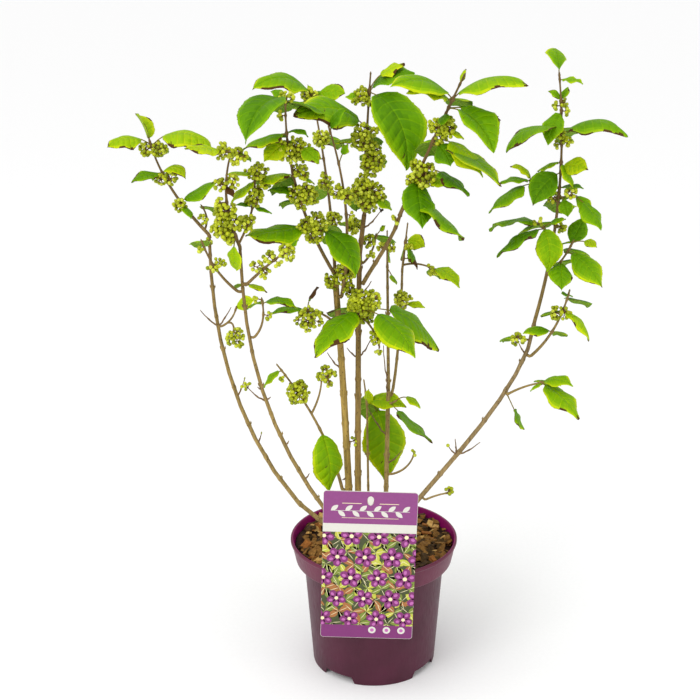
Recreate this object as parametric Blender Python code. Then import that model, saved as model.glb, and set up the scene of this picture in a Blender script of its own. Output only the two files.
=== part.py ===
"""Young beautyberry shrub in its nursery pot.

Metres, +Z up. The origin is the centre of the pot's underside, and -Y is the side that the label faces.
"""

import math
import random

import bmesh
import bpy
from mathutils import Vector
from mathutils.bvhtree import BVHTree

# Pot: a 17 cm nursery pot, and the gap that touching solids keep

GAP = 0.0003
POT_HEIGHT = 0.137
RIM_RADIUS = 0.085
FOOT_RADIUS = 0.0634
NECK_RADIUS = 0.0715
COLLAR_RADIUS = 0.0795
COLLAR_Z = 0.112
WALL = 0.002
CHANNEL_HEIGHT = 0.008
HUB_RADIUS = 0.039
HUB_SLOPE = 0.002
COLLAR_STEP = 0.001
INNER_STEP = 0.0035
RIM_BAND = 0.003
RIM_DEPTH = 0.004
RIM_CURL = 0.0012
RIM_WIDTH = 0.0032
RIM_ROUND = 0.0006
POT_SIDES = 40
NOTCH_HEIGHT = 0.0075
NOTCH_ANGLES = (55, 145, 235, 325)
NOTCH_HALF_WIDTH = 0.0155
NOTCH_SLOPE = 0.004
NOTCH_REACH = 0.012
SOIL_Z = 0.129
SOIL_FLARE = 0.0028

# Label: a thin card that hangs on the rim by a tongue

LABEL_WIDTH = 0.0895
LABEL_HEIGHT = 0.1566
LABEL_THICKNESS = 0.0008
LABEL_CORNER = 0.003
LABEL_FOOT = (-0.0075, -0.0861, 0.0689)
LABEL_TILT = 1.8
TONGUE_THICKNESS = 0.001
TONGUE_WIDTH = 0.014
TONGUE_DROP = 0.007
TONGUE_REACH = 0.0060
SLOT_WIDTH = 0.0066
SLOT_HEIGHT = 0.0096
SLOT_SIDES = 12
CORNER_STEPS = 4
SLOT_DROP = 0.0095

# Plant

BARK_SIDES = 6
TWIG_SIDES = 3
LIMB_STEPS = 9
FOOT_FLARE = 0.0012
FLARE_SHARE = 1 / 6
CLEARANCE = 0.0004
TUBE_SEAM = Vector((0.31, 0.95, 0.05))
NEAR_SHARE = 0.02
FLAT_ANGLE = 0.5
BOUGH_SEAT = 0.7
SHOOT_STEPS = 4
SHOOT_START = 0.003
SHOOT_THICKEST = 0.0021
SHOOT_TIP = 0.0010
SHOOT_TAPER = 0.008
SIDE_SHOOT_ROOT = 0.0013
BUNCH_DENT = 0.8
BUNCH_SET = 0.72
BUNCH_TURNS = (0, 1.2)
LEAF_RIDGE = 0.0005
LEAF_KEEL = 0.0011
SMALL_LEAF = 0.058
SMALL_LEAF_WIDTHS = ((0.46, 0.25),)
LARGE_LEAF_WIDTHS = ((0.34, 0.24), (0.68, 0.19))
LARGE_BUNCH = 0.0135
LEAF_FOLD = 0.04
LEAF_DROOP = 38
MATE_SHARE = 0.72
MATE_RISE = -4
MATE_SPREAD = 0.6
MATE_SIZES = (0.7, 0.95)
MATE_TURNS = (-25, 25)
MATE_ROLLS = (-0.35, 0.35)
BACK_HEADINGS = (15, 165)
JOINT_SHARE = 0.05
JOINT_ANGLE = 60
LEAF_FOOT = 0.0011
CLEAR_SIZES = (1.0, 0.8, 0.65)
SKIN = 0.0007
SEED = 17


def direction(heading, rise=0.0):
    """A unit vector. Heading is in degrees from +X towards +Y, and rise in degrees above the level."""
    turn, tilt = math.radians(heading), math.radians(rise)
    return Vector((math.cos(turn) * math.cos(tilt), math.sin(turn) * math.cos(tilt), math.sin(tilt)))


def clear_scene():
    for thing in list(bpy.data.objects):
        bpy.data.objects.remove(thing)


def plain_material(name, colour, roughness):
    material = bpy.data.materials.new(name)
    material.use_nodes = True
    shader = material.node_tree.nodes["Principled BSDF"]
    shader.inputs["Base Color"].default_value = (*colour, 1.0)
    shader.inputs["Roughness"].default_value = roughness
    return material


def new_object(name, points, faces, material, smooth=False):
    mesh = bpy.data.meshes.new(name)
    mesh.from_pydata([tuple(p) for p in points], [], faces)
    mesh.materials.append(material)
    shape = bmesh.new()
    shape.from_mesh(mesh)
    bmesh.ops.recalc_face_normals(shape, faces=shape.faces)
    shape.to_mesh(mesh)
    shape.free()
    for face in mesh.polygons:
        face.use_smooth = smooth
    made = bpy.data.objects.new(name, mesh)
    bpy.context.collection.objects.link(made)
    return made


def cut(body, cutter):
    """Takes the cutter out of the body and removes the cutter."""
    cutter.hide_render = True
    cutter.display_type = "WIRE"
    step = body.modifiers.new("cut", "BOOLEAN")
    step.operation = "DIFFERENCE"
    step.solver = "EXACT"
    step.object = cutter
    apply_steps(body)
    bpy.data.objects.remove(cutter)


def apply_steps(body):
    graph = bpy.context.evaluated_depsgraph_get()
    made = bpy.data.meshes.new_from_object(body.evaluated_get(graph))
    body.modifiers.clear()
    body.data = made


def turned(name, profile, sides, material):
    """A solid turned round Z from a profile of (radius, height) that starts and ends on the axis."""
    points = [Vector((0, 0, profile[0][1]))]
    for radius, height in profile[1:-1]:
        for k in range(sides):
            points.append(direction(360 * k / sides) * radius + Vector((0, 0, height)))
    points.append(Vector((0, 0, profile[-1][1])))
    rings = len(profile) - 2
    faces = []
    for k in range(sides):
        after = (k + 1) % sides
        faces.append((0, 1 + after, 1 + k))
        for ring in range(rings - 1):
            low, high = 1 + ring * sides, 1 + (ring + 1) * sides
            faces.append((low + k, low + after, high + after, high + k))
        last = 1 + (rings - 1) * sides
        faces.append((last + k, last + after, len(points) - 1))
    return new_object(name, points, faces, material, smooth=True)


def prism(name, outline, low, high, material):
    """A straight-sided solid: the outline of (x, z) points drawn along Y from low to high."""
    count = len(outline)
    points = [Vector((x, low, z)) for x, z in outline]
    points += [Vector((x, high, z)) for x, z in outline]
    faces = [tuple(range(count)), tuple(range(2 * count - 1, count - 1, -1))]
    for k in range(count):
        after = (k + 1) % count
        faces.append((k, after, count + after, count + k))
    return new_object(name, points, faces, material)


# Pot and compost


def make_pot():
    plum = plain_material("plum_plastic", (0.102, 0.029, 0.051), 0.45)
    roof = CHANNEL_HEIGHT
    floor = roof + WALL
    profile = [
        (0, 0),
        (HUB_RADIUS - HUB_SLOPE, 0),
        (HUB_RADIUS, roof),
        (FOOT_RADIUS - WALL, roof),
        (FOOT_RADIUS - WALL, 0),
        (FOOT_RADIUS, 0),
        (NECK_RADIUS, COLLAR_Z),
        (COLLAR_RADIUS, COLLAR_Z + COLLAR_STEP),
        (RIM_RADIUS - RIM_CURL, POT_HEIGHT - RIM_DEPTH),
        (RIM_RADIUS, POT_HEIGHT - RIM_BAND),
        (RIM_RADIUS, POT_HEIGHT - RIM_ROUND),
        (RIM_RADIUS - RIM_ROUND, POT_HEIGHT),
        (RIM_RADIUS - RIM_WIDTH + RIM_ROUND, POT_HEIGHT),
        (RIM_RADIUS - RIM_WIDTH, POT_HEIGHT - RIM_DEPTH),
        (COLLAR_RADIUS - WALL, COLLAR_Z + INNER_STEP),
        (NECK_RADIUS - WALL, COLLAR_Z + COLLAR_STEP),
        (FOOT_RADIUS - WALL, floor),
        (HUB_RADIUS - WALL, floor),
        (HUB_RADIUS - WALL - HUB_SLOPE, WALL),
        (0, WALL),
    ]
    pot = turned("pot", profile, POT_SIDES, plum)
    for angle in NOTCH_ANGLES:
        cut(pot, notch_cutter(angle - 90, plum))
    return pot


def notch_cutter(angle, material):
    """A wedge for one drain notch in the foot ring. It is wider at the floor than at its top."""
    outward = direction(angle)
    sideways = direction(angle + 90)
    points = []
    for reach in (FOOT_RADIUS - NOTCH_REACH, FOOT_RADIUS + NOTCH_REACH):
        for side, height in ((-1, -WALL), (1, -WALL), (1, NOTCH_HEIGHT), (-1, NOTCH_HEIGHT)):
            half = NOTCH_HALF_WIDTH + (NOTCH_SLOPE if height < 0 else 0)
            points.append(outward * reach + sideways * side * half + Vector((0, 0, height)))
    faces = [(0, 1, 2, 3), (7, 6, 5, 4), (0, 4, 5, 1), (1, 5, 6, 2), (2, 6, 7, 3), (3, 7, 4, 0)]
    return new_object("notch", points, faces, material)


def make_compost():
    mulch = plain_material("bark_mulch", (0.09, 0.045, 0.025), 0.9)
    floor = CHANNEL_HEIGHT + WALL + GAP
    profile = [
        (0, WALL + GAP),
        (HUB_RADIUS - WALL - HUB_SLOPE - 2 * GAP, WALL + GAP),
        (HUB_RADIUS - WALL - 2 * GAP, floor),
        (FOOT_RADIUS - WALL - GAP, floor),
        (NECK_RADIUS - WALL - 2 * GAP, COLLAR_Z + COLLAR_STEP),
        (COLLAR_RADIUS - WALL - 2 * GAP, COLLAR_Z + INNER_STEP + GAP),
        (COLLAR_RADIUS - WALL + SOIL_FLARE, SOIL_Z),
        (0, SOIL_Z),
    ]
    return turned("compost", profile, POT_SIDES, mulch)


# Label


def make_label():
    """The card, its slot, and the tongue on its back that hooks over the pot's rim."""
    card_print = plain_material("label_card", (0.35, 0.06, 0.32), 0.4)
    half = LABEL_WIDTH / 2 - LABEL_CORNER
    outline = []
    for centre_x, centre_z, start in (
        (half, LABEL_CORNER, -90),
        (half, LABEL_HEIGHT - LABEL_CORNER, 0),
        (-half, LABEL_HEIGHT - LABEL_CORNER, 90),
        (-half, LABEL_CORNER, 180),
    ):
        for step in range(CORNER_STEPS + 1):
            turn = math.radians(start + 90 * step / CORNER_STEPS)
            corner_x = centre_x + LABEL_CORNER * math.cos(turn)
            outline.append((corner_x, centre_z + LABEL_CORNER * math.sin(turn)))
    label = prism("label", outline, 0, LABEL_THICKNESS, card_print)
    slot = []
    for k in range(SLOT_SIDES):
        turn = 2 * math.pi * k / SLOT_SIDES
        slot_z = LABEL_HEIGHT - SLOT_DROP + SLOT_HEIGHT / 2 * math.sin(turn)
        slot.append((SLOT_WIDTH / 2 * math.cos(turn), slot_z))
    cut(label, prism("slot", slot, -LABEL_CORNER, LABEL_CORNER, card_print))
    tilt = math.radians(LABEL_TILT)
    foot = Vector(LABEL_FOOT)
    for vertex in label.data.vertices:
        x, y, z = vertex.co
        turned_x = x * math.cos(tilt) + z * math.sin(tilt)
        vertex.co = Vector((turned_x, y, z * math.cos(tilt) - x * math.sin(tilt))) + foot
    fuse(label, [rim_tongue(card_print)])
    return label


def rim_tongue(material):
    """An inverted L, in the plane across the rim, 0.3 mm above the rim's top edge."""
    back = LABEL_FOOT[1] + LABEL_THICKNESS
    seat = POT_HEIGHT + GAP
    root = back - LABEL_THICKNESS / 2
    outline = [
        (root, seat),
        (back + TONGUE_REACH, seat),
        (back + TONGUE_REACH, seat - TONGUE_DROP),
        (back + TONGUE_REACH + TONGUE_THICKNESS, seat - TONGUE_DROP),
        (back + TONGUE_REACH + TONGUE_THICKNESS, seat + TONGUE_THICKNESS),
        (root, seat + TONGUE_THICKNESS),
    ]
    count = len(outline)
    points = []
    for side in (-0.5, 0.5):
        points += [Vector((side * TONGUE_WIDTH, y, z)) for y, z in outline]
    faces = [tuple(range(count)), tuple(range(2 * count - 1, count - 1, -1))]
    for k in range(count):
        after = (k + 1) % count
        faces.append((k, after, count + after, count + k))
    return new_object("tongue", points, faces, material)


def fuse(body, others):
    """Joins the others to the body with one union on a collection, and keeps the one closed shell."""
    group = bpy.data.collections.new("to_join")
    bpy.context.scene.collection.children.link(group)
    for other in others:
        bpy.context.collection.objects.unlink(other)
        group.objects.link(other)
    loose = body.data
    for solver in ("EXACT", "MANIFOLD"):
        body.data = loose
        step = body.modifiers.new("join", "BOOLEAN")
        step.operation = "UNION"
        step.solver = solver
        step.operand_type = "COLLECTION"
        step.collection = group
        apply_steps(body)
        if keep_largest_shell(body):
            break
    for other in others:
        bpy.data.objects.remove(other)
    bpy.data.collections.remove(group)


def keep_largest_shell(body):
    """Drops loose scraps, and the walls of any hollow that the union sealed, which fills it.

    Returns whether what is left is closed.
    """
    shape = bmesh.new()
    shape.from_mesh(body.data)
    flat = math.radians(FLAT_ANGLE)
    bmesh.ops.dissolve_limit(shape, angle_limit=flat, verts=shape.verts, edges=shape.edges)
    bmesh.ops.triangulate(shape, faces=shape.faces)
    unseen = set(shape.faces)
    shells = []
    while unseen:
        shell, next_faces = [], [unseen.pop()]
        while next_faces:
            face = next_faces.pop()
            shell.append(face)
            for edge in face.edges:
                for near in edge.link_faces:
                    if near in unseen:
                        unseen.remove(near)
                        next_faces.append(near)
        shells.append(shell)
    shells.sort(key=len)
    for shell in shells[:-1]:
        bmesh.ops.delete(shape, geom=shell, context="FACES")
    closed = all(len(edge.link_faces) == 2 for edge in shape.edges)
    shape.to_mesh(body.data)
    shape.free()
    return closed


# Growth rule


def lean(share, delay, haste):
    """How much of its reach along X a stem has made at this share of its height."""
    return 1 - (1 - share**delay) ** haste


def stem_path(foot, tip, delay, haste, steps):
    """A stem that leans out along X by the rule above, and evenly along Y."""
    points = []
    for k in range(steps + 1):
        share = k / steps
        point = foot.lerp(tip, share)
        point.x = foot.x + (tip.x - foot.x) * lean(share, delay, haste)
        points.append(point)
    return points


def shoot_path(start, end, bow, steps):
    """A shoot from start to end that bows sideways, most at its middle."""
    points = []
    for k in range(steps + 1):
        share = k / steps
        points.append(start + (end - start) * share + Vector(bow) * 4 * share * (1 - share))
    return points


def point_on(path, share):
    """The point at this share of the path's length."""
    pieces = [(after - before).length for before, after in zip(path, path[1:])]
    left = min(max(share, 0.0), 1.0) * sum(pieces)
    for k, piece in enumerate(pieces[:-1]):
        if left <= piece:
            return path[k].lerp(path[k + 1], left / piece)
        left -= piece
    return path[-2].lerp(path[-1], min(1.0, left / pieces[-1]))


def share_at_height(path, height):
    """The share of the path's length at which a rising path reaches this height."""
    run, whole = 0.0, sum((after - before).length for before, after in zip(path, path[1:]))
    for before, after in zip(path, path[1:]):
        if before.z <= height <= after.z:
            return (run + (after - before).length * (height - before.z) / (after.z - before.z)) / whole
        run += (after - before).length
    return 1.0


def tube(path, first_radius, last_radius, sides, flare=0.0, level_foot=False):
    """Points and faces of a tapering tube with flat caps. A flare widens only its foot."""
    points, faces = [], []
    last = len(path) - 1
    for k, centre in enumerate(path):
        along = (path[min(k + 1, last)] - path[max(k - 1, 0)]).normalized()
        if level_foot and k == 0:
            along = Vector((0, 0, 1))
        across = along.cross(TUBE_SEAM).normalized()
        over = along.cross(across)
        share = k / last
        radius = first_radius + (last_radius - first_radius) * share
        radius += flare * max(0.0, 1 - share / FLARE_SHARE)
        for side in range(sides):
            turn = 2 * math.pi * side / sides
            points.append(centre + (across * math.cos(turn) + over * math.sin(turn)) * radius)
    for k in range(last):
        for side in range(sides):
            after = (side + 1) % sides
            low, high = k * sides, (k + 1) * sides
            faces.append((low + side, low + after, high + after, high + side))
    faces.append(tuple(range(sides)))
    faces.append(tuple(last * sides + side for side in range(sides)))
    return points, faces


def leaf_shape(base, length, heading, rise, droop, roll):
    """Points and faces of one leaf: a bent, folded blade, thickest at its midrib and pointed."""
    widths = SMALL_LEAF_WIDTHS if length < SMALL_LEAF else LARGE_LEAF_WIDTHS
    stations = ((0.0, LEAF_FOOT),) + tuple((share, width * length) for share, width in widths)
    place = base.copy()
    before = 0.0
    points = []
    for share, half_width in stations + ((1.0, 0.0),):
        along = direction(heading, rise - droop * (share + before) / 2)
        place = place + along * length * (share - before)
        before = share
        across = direction(heading - 90)
        upward = across.cross(along)
        across, upward = (
            across * math.cos(roll) + upward * math.sin(roll),
            upward * math.cos(roll) - across * math.sin(roll),
        )
        if half_width:
            lift = upward * LEAF_FOLD * half_width
            points += [place - across * half_width + lift, place + upward * LEAF_RIDGE]
            points += [place + across * half_width + lift, place - upward * LEAF_KEEL]
        else:
            points.append(place)
    faces = [(0, 1, 2), (0, 2, 3)]
    last = 4 * (len(stations) - 1)
    for low in range(0, last, 4):
        for side in range(4):
            after = (side + 1) % 4
            faces.append((low + side, low + 4 + side, low + 4 + after))
            faces.append((low + side, low + 4 + after, low + after))
    for side in range(4):
        faces.append((last + side, last + 4, last + (side + 1) % 4))
    return points, faces


def berry_bunch(centre, radius, turn):
    """Points and faces of one cluster of berries: a ball with a bump for each outer berry."""
    shape = bmesh.new()
    bmesh.ops.create_icosphere(shape, subdivisions=1, radius=1.0)
    bumps = len(shape.verts)
    if radius > LARGE_BUNCH:
        bmesh.ops.subdivide_edges(shape, edges=shape.edges[:], cuts=1, use_grid_fill=True)
    points = []
    for k, vertex in enumerate(shape.verts):
        reach = radius * (1.0 if k < bumps else BUNCH_DENT)
        spot = vertex.co.normalized() * reach
        turned_x = spot.x * math.cos(turn) - spot.y * math.sin(turn)
        turned_y = spot.x * math.sin(turn) + spot.y * math.cos(turn)
        points.append(centre + Vector((turned_x, turned_y, spot.z)))
    shape.verts.index_update()
    faces = [tuple(vertex.index for vertex in face.verts) for face in shape.faces]
    shape.free()
    return points, faces


# Stems and bare boughs.
# Each row: name, carrier or None, height it leaves its carrier at, tip, delay, haste,
# radius at the foot and at the tip. A stem with no carrier has its foot instead of a height.

LIMBS = (
    ("stem_a", None, (-0.036, 0.016), (-0.164, 0.062, 0.434), 0.8, 2.05, 0.0024, 0.0016),
    ("stem_b", None, (-0.016, -0.015), (-0.121, -0.060, 0.453), 1.0, 2.4, 0.0023, 0.0014),
    ("stem_c", None, (-0.024, 0.004), (-0.037, 0.000, 0.410), 1.45, 1.0, 0.0037, 0.0030),
    ("stem_d", None, (-0.016, -0.004), (-0.009, 0.000, 0.472), 2.05, 0.3, 0.0035, 0.0022),
    ("stem_e", None, (0.011, 0.008), (0.015, 0.040, 0.280), 0.65, 0.75, 0.0026, 0.0021),
    ("stem_f", None, (-0.005, 0.017), (-0.007, 0.045, 0.262), 1.0, 1.0, 0.0014, 0.0010),
    ("stem_g", None, (0.010, -0.012), (0.157, 0.012, 0.361), 1.25, 1.65, 0.0026, 0.0019),
    ("bough_d_right", "stem_d", 0.405, (0.024, -0.024, 0.476), 1.1, 1.3, 0.0021, 0.0016),
    ("bough_e_left", "stem_e", 1.0, (0.014, 0.100, 0.393), 1.0, 1.0, 0.0018, 0.0013),
    ("bough_e_right", "stem_e", 0.268, (0.029, 0.085, 0.392), 0.7, 1.4, 0.0016, 0.0012),
)

# Masses of foliage and fruit.
# Each mass leaves its limb at a height, or at 1.0 for the limb's tip, first towards a heading.
# A shoot has the share of the first shoot that it forks from, its end and its bow.
# A leaf row is share of the shoot, length, heading, rise, droop and roll. A fruit row is share of the
# shoot, radius, heading and rise. Angles are in degrees.

MASSES = {
    "foliage_a_top": {
        "limb": "stem_a", "height": 1.0, "heading": 160,
        "shoots": (
            {
                "end": (-0.223, 0.085, 0.531), "bow": (-0.009, 0.0, 0.0),
                "leaves": (
                    (0.96, 0.037, 130, 70, 50, -30), (0.94, 0.052, 220, 40, 75, 15),
                    (0.92, 0.078, 340, 50, 100, -10), (0.66, 0.038, 220, 20, 50, 15),
                    (0.68, 0.036, 330, 55, 125, -15), (0.40, 0.049, 350, 30, 0, -25),
                    (0.34, 0.024, 295, 10, 60, 20),
                ),
                "fruit": (
                    (0.91, 0.008, 200, -20), (0.88, 0.0095, 350, 20), (0.63, 0.007, 200, -20),
                    (0.59, 0.0085, 320, 40), (0.39, 0.0075, 270, -20), (0.00, 0.0075, 220, -40),
                ),
            },
            {
                "fork": 0.08, "end": (-0.171, 0.071, 0.464), "bow": (0.003, 0.002, 0.0),
                "leaves": ((1.00, 0.034, 72, -4, 38, 0),),
                "fruit": ((0.50, 0.0065, 230, 0),),
            },
        ),
    },
    "foliage_a_low": {
        "limb": "stem_a", "height": 0.346, "heading": 320,
        "shoots": (
            {
                "end": (-0.137, 0.036, 0.369), "bow": (0.002, 0.0, -0.002),
                "leaves": ((0.94, 0.026, 335, 50, 40, -65),),
                "fruit": (),
            },
            {
                "fork": 0.35, "end": (-0.14, 0.036, 0.345), "bow": (0.002, 0.0, 0.003),
                "leaves": (),
                "fruit": ((0.95, 0.0115, 300, -40),),
            },
        ),
    },
    "foliage_b_top": {
        "limb": "stem_b", "height": 1.0, "heading": 180,
        "shoots": (
            {
                "end": (-0.124, -0.08, 0.545), "bow": (-0.008, 0.0, 0.0),
                "leaves": (
                    (1.00, 0.046, 215, 20, 20, 15), (0.66, 0.014, 310, -15, 40, -15),
                    (0.14, 0.036, 255, -40, 100, -30),
                ),
                "fruit": (
                    (0.99, 0.009, 210, 20), (0.99, 0.009, 10, -20), (0.68, 0.0075, 200, 0),
                    (0.71, 0.0075, 350, 0), (0.39, 0.0095, 240, 20), (0.26, 0.012, 190, -20),
                    (0.50, 0.007, 200, 0), (0.34, 0.0085, 200, 0), (0.31, 0.0085, 310, 0),
                    (0.16, 0.0075, 200, -20),
                ),
            },
            {
                "fork": 0.06, "end": (-0.107, -0.051, 0.52), "bow": (0.005, 0.0, 0.0),
                "leaves": (
                    (1.00, 0.029, 210, 25, 40, 5), (0.92, 0.034, 230, -15, 25, -10),
                    (0.56, 0.016, 200, 30, 40, 15), (0.56, 0.020, 340, 5, 40, 0),
                    (1.00, 0.034, 66, -4, 38, 0),
                ),
                "fruit": (
                    (0.99, 0.0095, 330, 40), (0.75, 0.0095, 270, -20), (0.27, 0.0095, 260, 40),
                    (1.00, 0.0065, 190, 20), (0.81, 0.0065, 0, 0),
                ),
            },
        ),
    },
    "foliage_b_left": {
        "limb": "stem_b", "height": 0.412, "heading": 170,
        "shoots": (
            {
                "end": (-0.154, -0.07, 0.463), "bow": (-0.003, 0.0, -0.003),
                "leaves": ((1.00, 0.040, 102, -4, 38, 0),),
                "fruit": ((0.58, 0.007, 10, 20),),
            },
        ),
    },
    "foliage_b_right": {
        "limb": "stem_b", "height": 0.42, "heading": 330,
        "shoots": (
            {
                "end": (-0.073, -0.09, 0.462), "bow": (0.001, -0.002, 0.003),
                "leaves": (
                    (0.04, 0.022, 340, 5, 40, -5), (0.90, 0.017, 350, 55, 20, -20),
                ),
                "fruit": (
                    (0.40, 0.0075, 190, 40), (0.42, 0.0065, 330, -40), (0.67, 0.0075, 180, 40),
                    (0.93, 0.0095, 280, 0),
                ),
            },
        ),
    },
    "foliage_b_low": {
        "limb": "stem_b", "height": 0.366, "heading": 335,
        "shoots": (
            {
                "end": (-0.103, -0.054, 0.404), "bow": (0.004, 0.0, -0.003),
                "leaves": ((0.92, 0.038, 340, 35, 75, -5),),
                "fruit": (),
            },
        ),
    },
    "foliage_c_left": {
        "limb": "stem_c", "height": 1.0, "heading": 180,
        "shoots": (
            {
                "end": (-0.077, -0.06, 0.59), "bow": (-0.013, 0.0, 0.0),
                "leaves": (
                    (0.30, 0.072, 330, 10, 100, -15), (0.32, 0.069, 215, 0, 0, 15),
                    (0.50, 0.031, 200, 40, 60, 15), (0.60, 0.041, 215, 25, 75, 0),
                    (0.78, 0.034, 230, -15, 20, 35), (0.76, 0.036, 335, 5, 60, -25),
                    (0.82, 0.048, 215, 0, 25, 0), (0.82, 0.025, 335, 45, 100, -5),
                    (0.98, 0.078, 240, 25, 100, 0), (1.00, 0.016, 155, 35, 40, 45),
                    (0.47, 0.042, 120, -4, 38, 0), (0.60, 0.046, 127, -14, 38, 0),
                    (0.97, 0.042, 102, -4, 38, 0),
                ),
                "fruit": (
                    (0.74, 0.0105, 230, 0), (0.74, 0.012, 0, 0), (0.69, 0.0065, 310, 20),
                    (0.62, 0.0095, 0, 0), (0.46, 0.014, 290, 40), (0.28, 0.0155, 280, 40),
                    (0.00, 0.0065, 190, 0), (0.00, 0.008, 220, -40),
                ),
            },
        ),
    },
    "foliage_c_back": {
        "limb": "stem_c", "height": 0.402, "heading": 95,
        "shoots": (
            {
                "end": (-0.061, 0.112, 0.566), "bow": (0.004, 0.006, -0.004),
                "leaves": (
                    (1.00, 0.077, 210, 60, 100, 20), (1.00, 0.038, 335, 35, 50, -55),
                    (1.00, 0.014, 180, 80, 20, 45), (1.00, 0.020, 50, 35, 40, -15),
                    (0.98, 0.055, 108, -4, 38, 0), (0.80, 0.060, 72, -4, 38, 0),
                    (0.55, 0.060, 114, -14, 38, 0), (0.30, 0.055, 81, -19, 38, 0),
                ),
                "fruit": (
                    (0.99, 0.0095, 220, 40), (0.79, 0.0105, 280, 0), (0.54, 0.0095, 250, 20),
                    (0.35, 0.009, 300, 40),
                ),
            },
        ),
    },
    "foliage_c_right": {
        "limb": "stem_c", "height": 0.392, "heading": 320,
        "shoots": (
            {
                "end": (-0.04, -0.04, 0.56), "bow": (0.01, 0.0, 0.0),
                "leaves": (
                    (0.80, 0.020, 0, 75, 20, -45), (0.98, 0.027, 355, 85, 60, -40),
                ),
                "fruit": ((0.64, 0.008, 190, 0), (0.63, 0.0095, 290, 0),),
            },
        ),
    },
    "foliage_c_low": {
        "limb": "stem_c", "height": 0.368, "heading": 205,
        "shoots": (
            {
                "end": (-0.064, -0.016, 0.382), "bow": (0.0, 0.0, 0.003),
                "leaves": (
                    (1.00, 0.039, 200, 30, 60, 0), (1.00, 0.031, 65, 75, 75, 45),
                    (0.90, 0.030, 72, -4, 38, 0),
                ),
                "fruit": ((0.92, 0.013, 270, -40),),
            },
        ),
    },
    "foliage_d_top": {
        "limb": "stem_d", "height": 1.0, "heading": 90,
        "shoots": (
            {
                "end": (-0.003, 0.002, 0.602), "bow": (-0.001, 0.0, 0.0),
                "leaves": (
                    (0.88, 0.093, 315, -5, 100, -15), (0.88, 0.050, 345, 60, 75, -25),
                    (0.90, 0.042, 350, 65, 60, -20), (0.86, 0.022, 185, 5, 20, 35),
                    (0.62, 0.084, 210, 50, 75, 30), (0.56, 0.034, 210, 5, 20, 0),
                    (0.18, 0.034, 330, -10, 40, -5), (0.45, 0.050, 72, -9, 38, 0),
                    (0.20, 0.055, 102, -19, 38, 0),
                ),
                "fruit": (
                    (0.85, 0.01, 210, 0), (0.79, 0.0065, 340, 20), (0.62, 0.014, 250, -40),
                    (0.47, 0.0095, 350, 0), (0.38, 0.013, 310, 0), (0.10, 0.017, 280, 40),
                    (0.20, 0.0065, 350, 0), (0.05, 0.0065, 350, 0), (0.25, 0.0075, 190, 0),
                ),
            },
        ),
    },
    "foliage_d_left": {
        "limb": "stem_d", "height": 0.396, "heading": 150,
        "shoots": (
            {
                "end": (-0.024, 0.018, 0.46), "bow": (-0.004, 0.0, 0.0),
                "leaves": (
                    (0.70, 0.030, 255, 0, 40, -25), (1.00, 0.042, 84, -4, 38, 0),
                    (0.50, 0.045, 81, -4, 38, 0),
                ),
                "fruit": (
                    (0.31, 0.012, 250, 20), (0.96, 0.0095, 340, 0), (0.52, 0.0065, 350, 0),
                    (0.08, 0.0085, 230, 0),
                ),
            },
        ),
    },
    "foliage_d_inner": {
        "limb": "stem_d", "height": 0.424, "heading": 50,
        "shoots": (
            {
                "end": (0.002, 0.014, 0.448), "bow": (0.002, 0.001, -0.002),
                "leaves": (
                    (1.00, 0.014, 350, 60, 20, -35), (1.00, 0.045, 66, -4, 38, 0),
                ),
                "fruit": ((0.80, 0.0075, 190, 20),),
            },
        ),
    },
    "foliage_d_front": {
        "limb": "stem_d", "height": 0.37, "heading": 270,
        "shoots": (
            {
                "end": (-0.013, -0.024, 0.386), "bow": (0.0, 0.0, 0.0),
                "leaves": (
                    (1.00, 0.081, 320, 10, 75, 0), (1.00, 0.100, 15, 5, 75, -20),
                    (1.00, 0.071, 225, -5, 50, 0),
                ),
                "fruit": (
                    (1.00, 0.014, 10, 40), (1.00, 0.009, 160, 60), (1.00, 0.0095, 170, 40),
                    (1.00, 0.008, 0, 20), (1.00, 0.0085, 170, 40), (0.42, 0.0095, 350, 0),
                    (0.25, 0.0085, 240, 20),
                ),
            },
            {
                "fork": 0.5, "end": (0.005, -0.03, 0.352), "bow": (0.002, 0.0, 0.003),
                "leaves": (),
                "fruit": ((0.82, 0.0095, 290, 40),),
            },
        ),
    },
    "foliage_d_right": {
        "limb": "bough_d_right", "height": 1.0, "heading": 0, "mates": False,
        "shoots": (
            {
                "end": (0.076, -0.096, 0.613), "bow": (0.001, 0.0, 0.004),
                "leaves": (
                    (0.84, 0.069, 210, 50, 75, 20), (0.82, 0.048, 205, 50, 75, 15),
                    (0.84, 0.077, 330, 50, 75, -10), (0.78, 0.066, 315, 5, 75, -10),
                    (0.78, 0.051, 15, 5, 40, -10), (0.74, 0.022, 255, 0, 40, -15),
                    (0.54, 0.040, 295, 5, 60, -35), (0.56, 0.065, 320, 10, 75, 5),
                    (0.52, 0.084, 320, 5, 50, 10), (0.64, 0.026, 335, 10, 60, 0),
                    (0.36, 0.059, 320, 5, 50, 10), (0.30, 0.030, 330, 5, 40, -20),
                    (0.28, 0.060, 275, -25, 25, 15), (0.18, 0.075, 315, -15, 25, 30),
                    (0.94, 0.014, 355, 80, 20, -35), (0.84, 0.050, 75, 0, 38, 0),
                    (0.56, 0.055, 95, -10, 38, 0), (0.34, 0.050, 70, -10, 38, 0),
                ),
                "fruit": (
                    (0.64, 0.009, 240, 20), (0.67, 0.0095, 330, -20), (0.60, 0.0075, 330, -40),
                    (0.36, 0.0065, 180, 20), (0.31, 0.013, 300, 0), (0.27, 0.0075, 230, 0),
                    (0.28, 0.0075, 350, -20),
                ),
            },
        ),
    },
    "foliage_e_left": {
        "limb": "bough_e_left", "height": 1.0, "heading": 90, "mates": False,
        "shoots": (
            {
                "end": (0.014, 0.128, 0.424), "bow": (0.0, 0.0, 0.0),
                "leaves": (
                    (0.02, 0.024, 300, -35, 0, 30), (0.60, 0.050, 88, -20, 20, -75),
                ),
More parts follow.
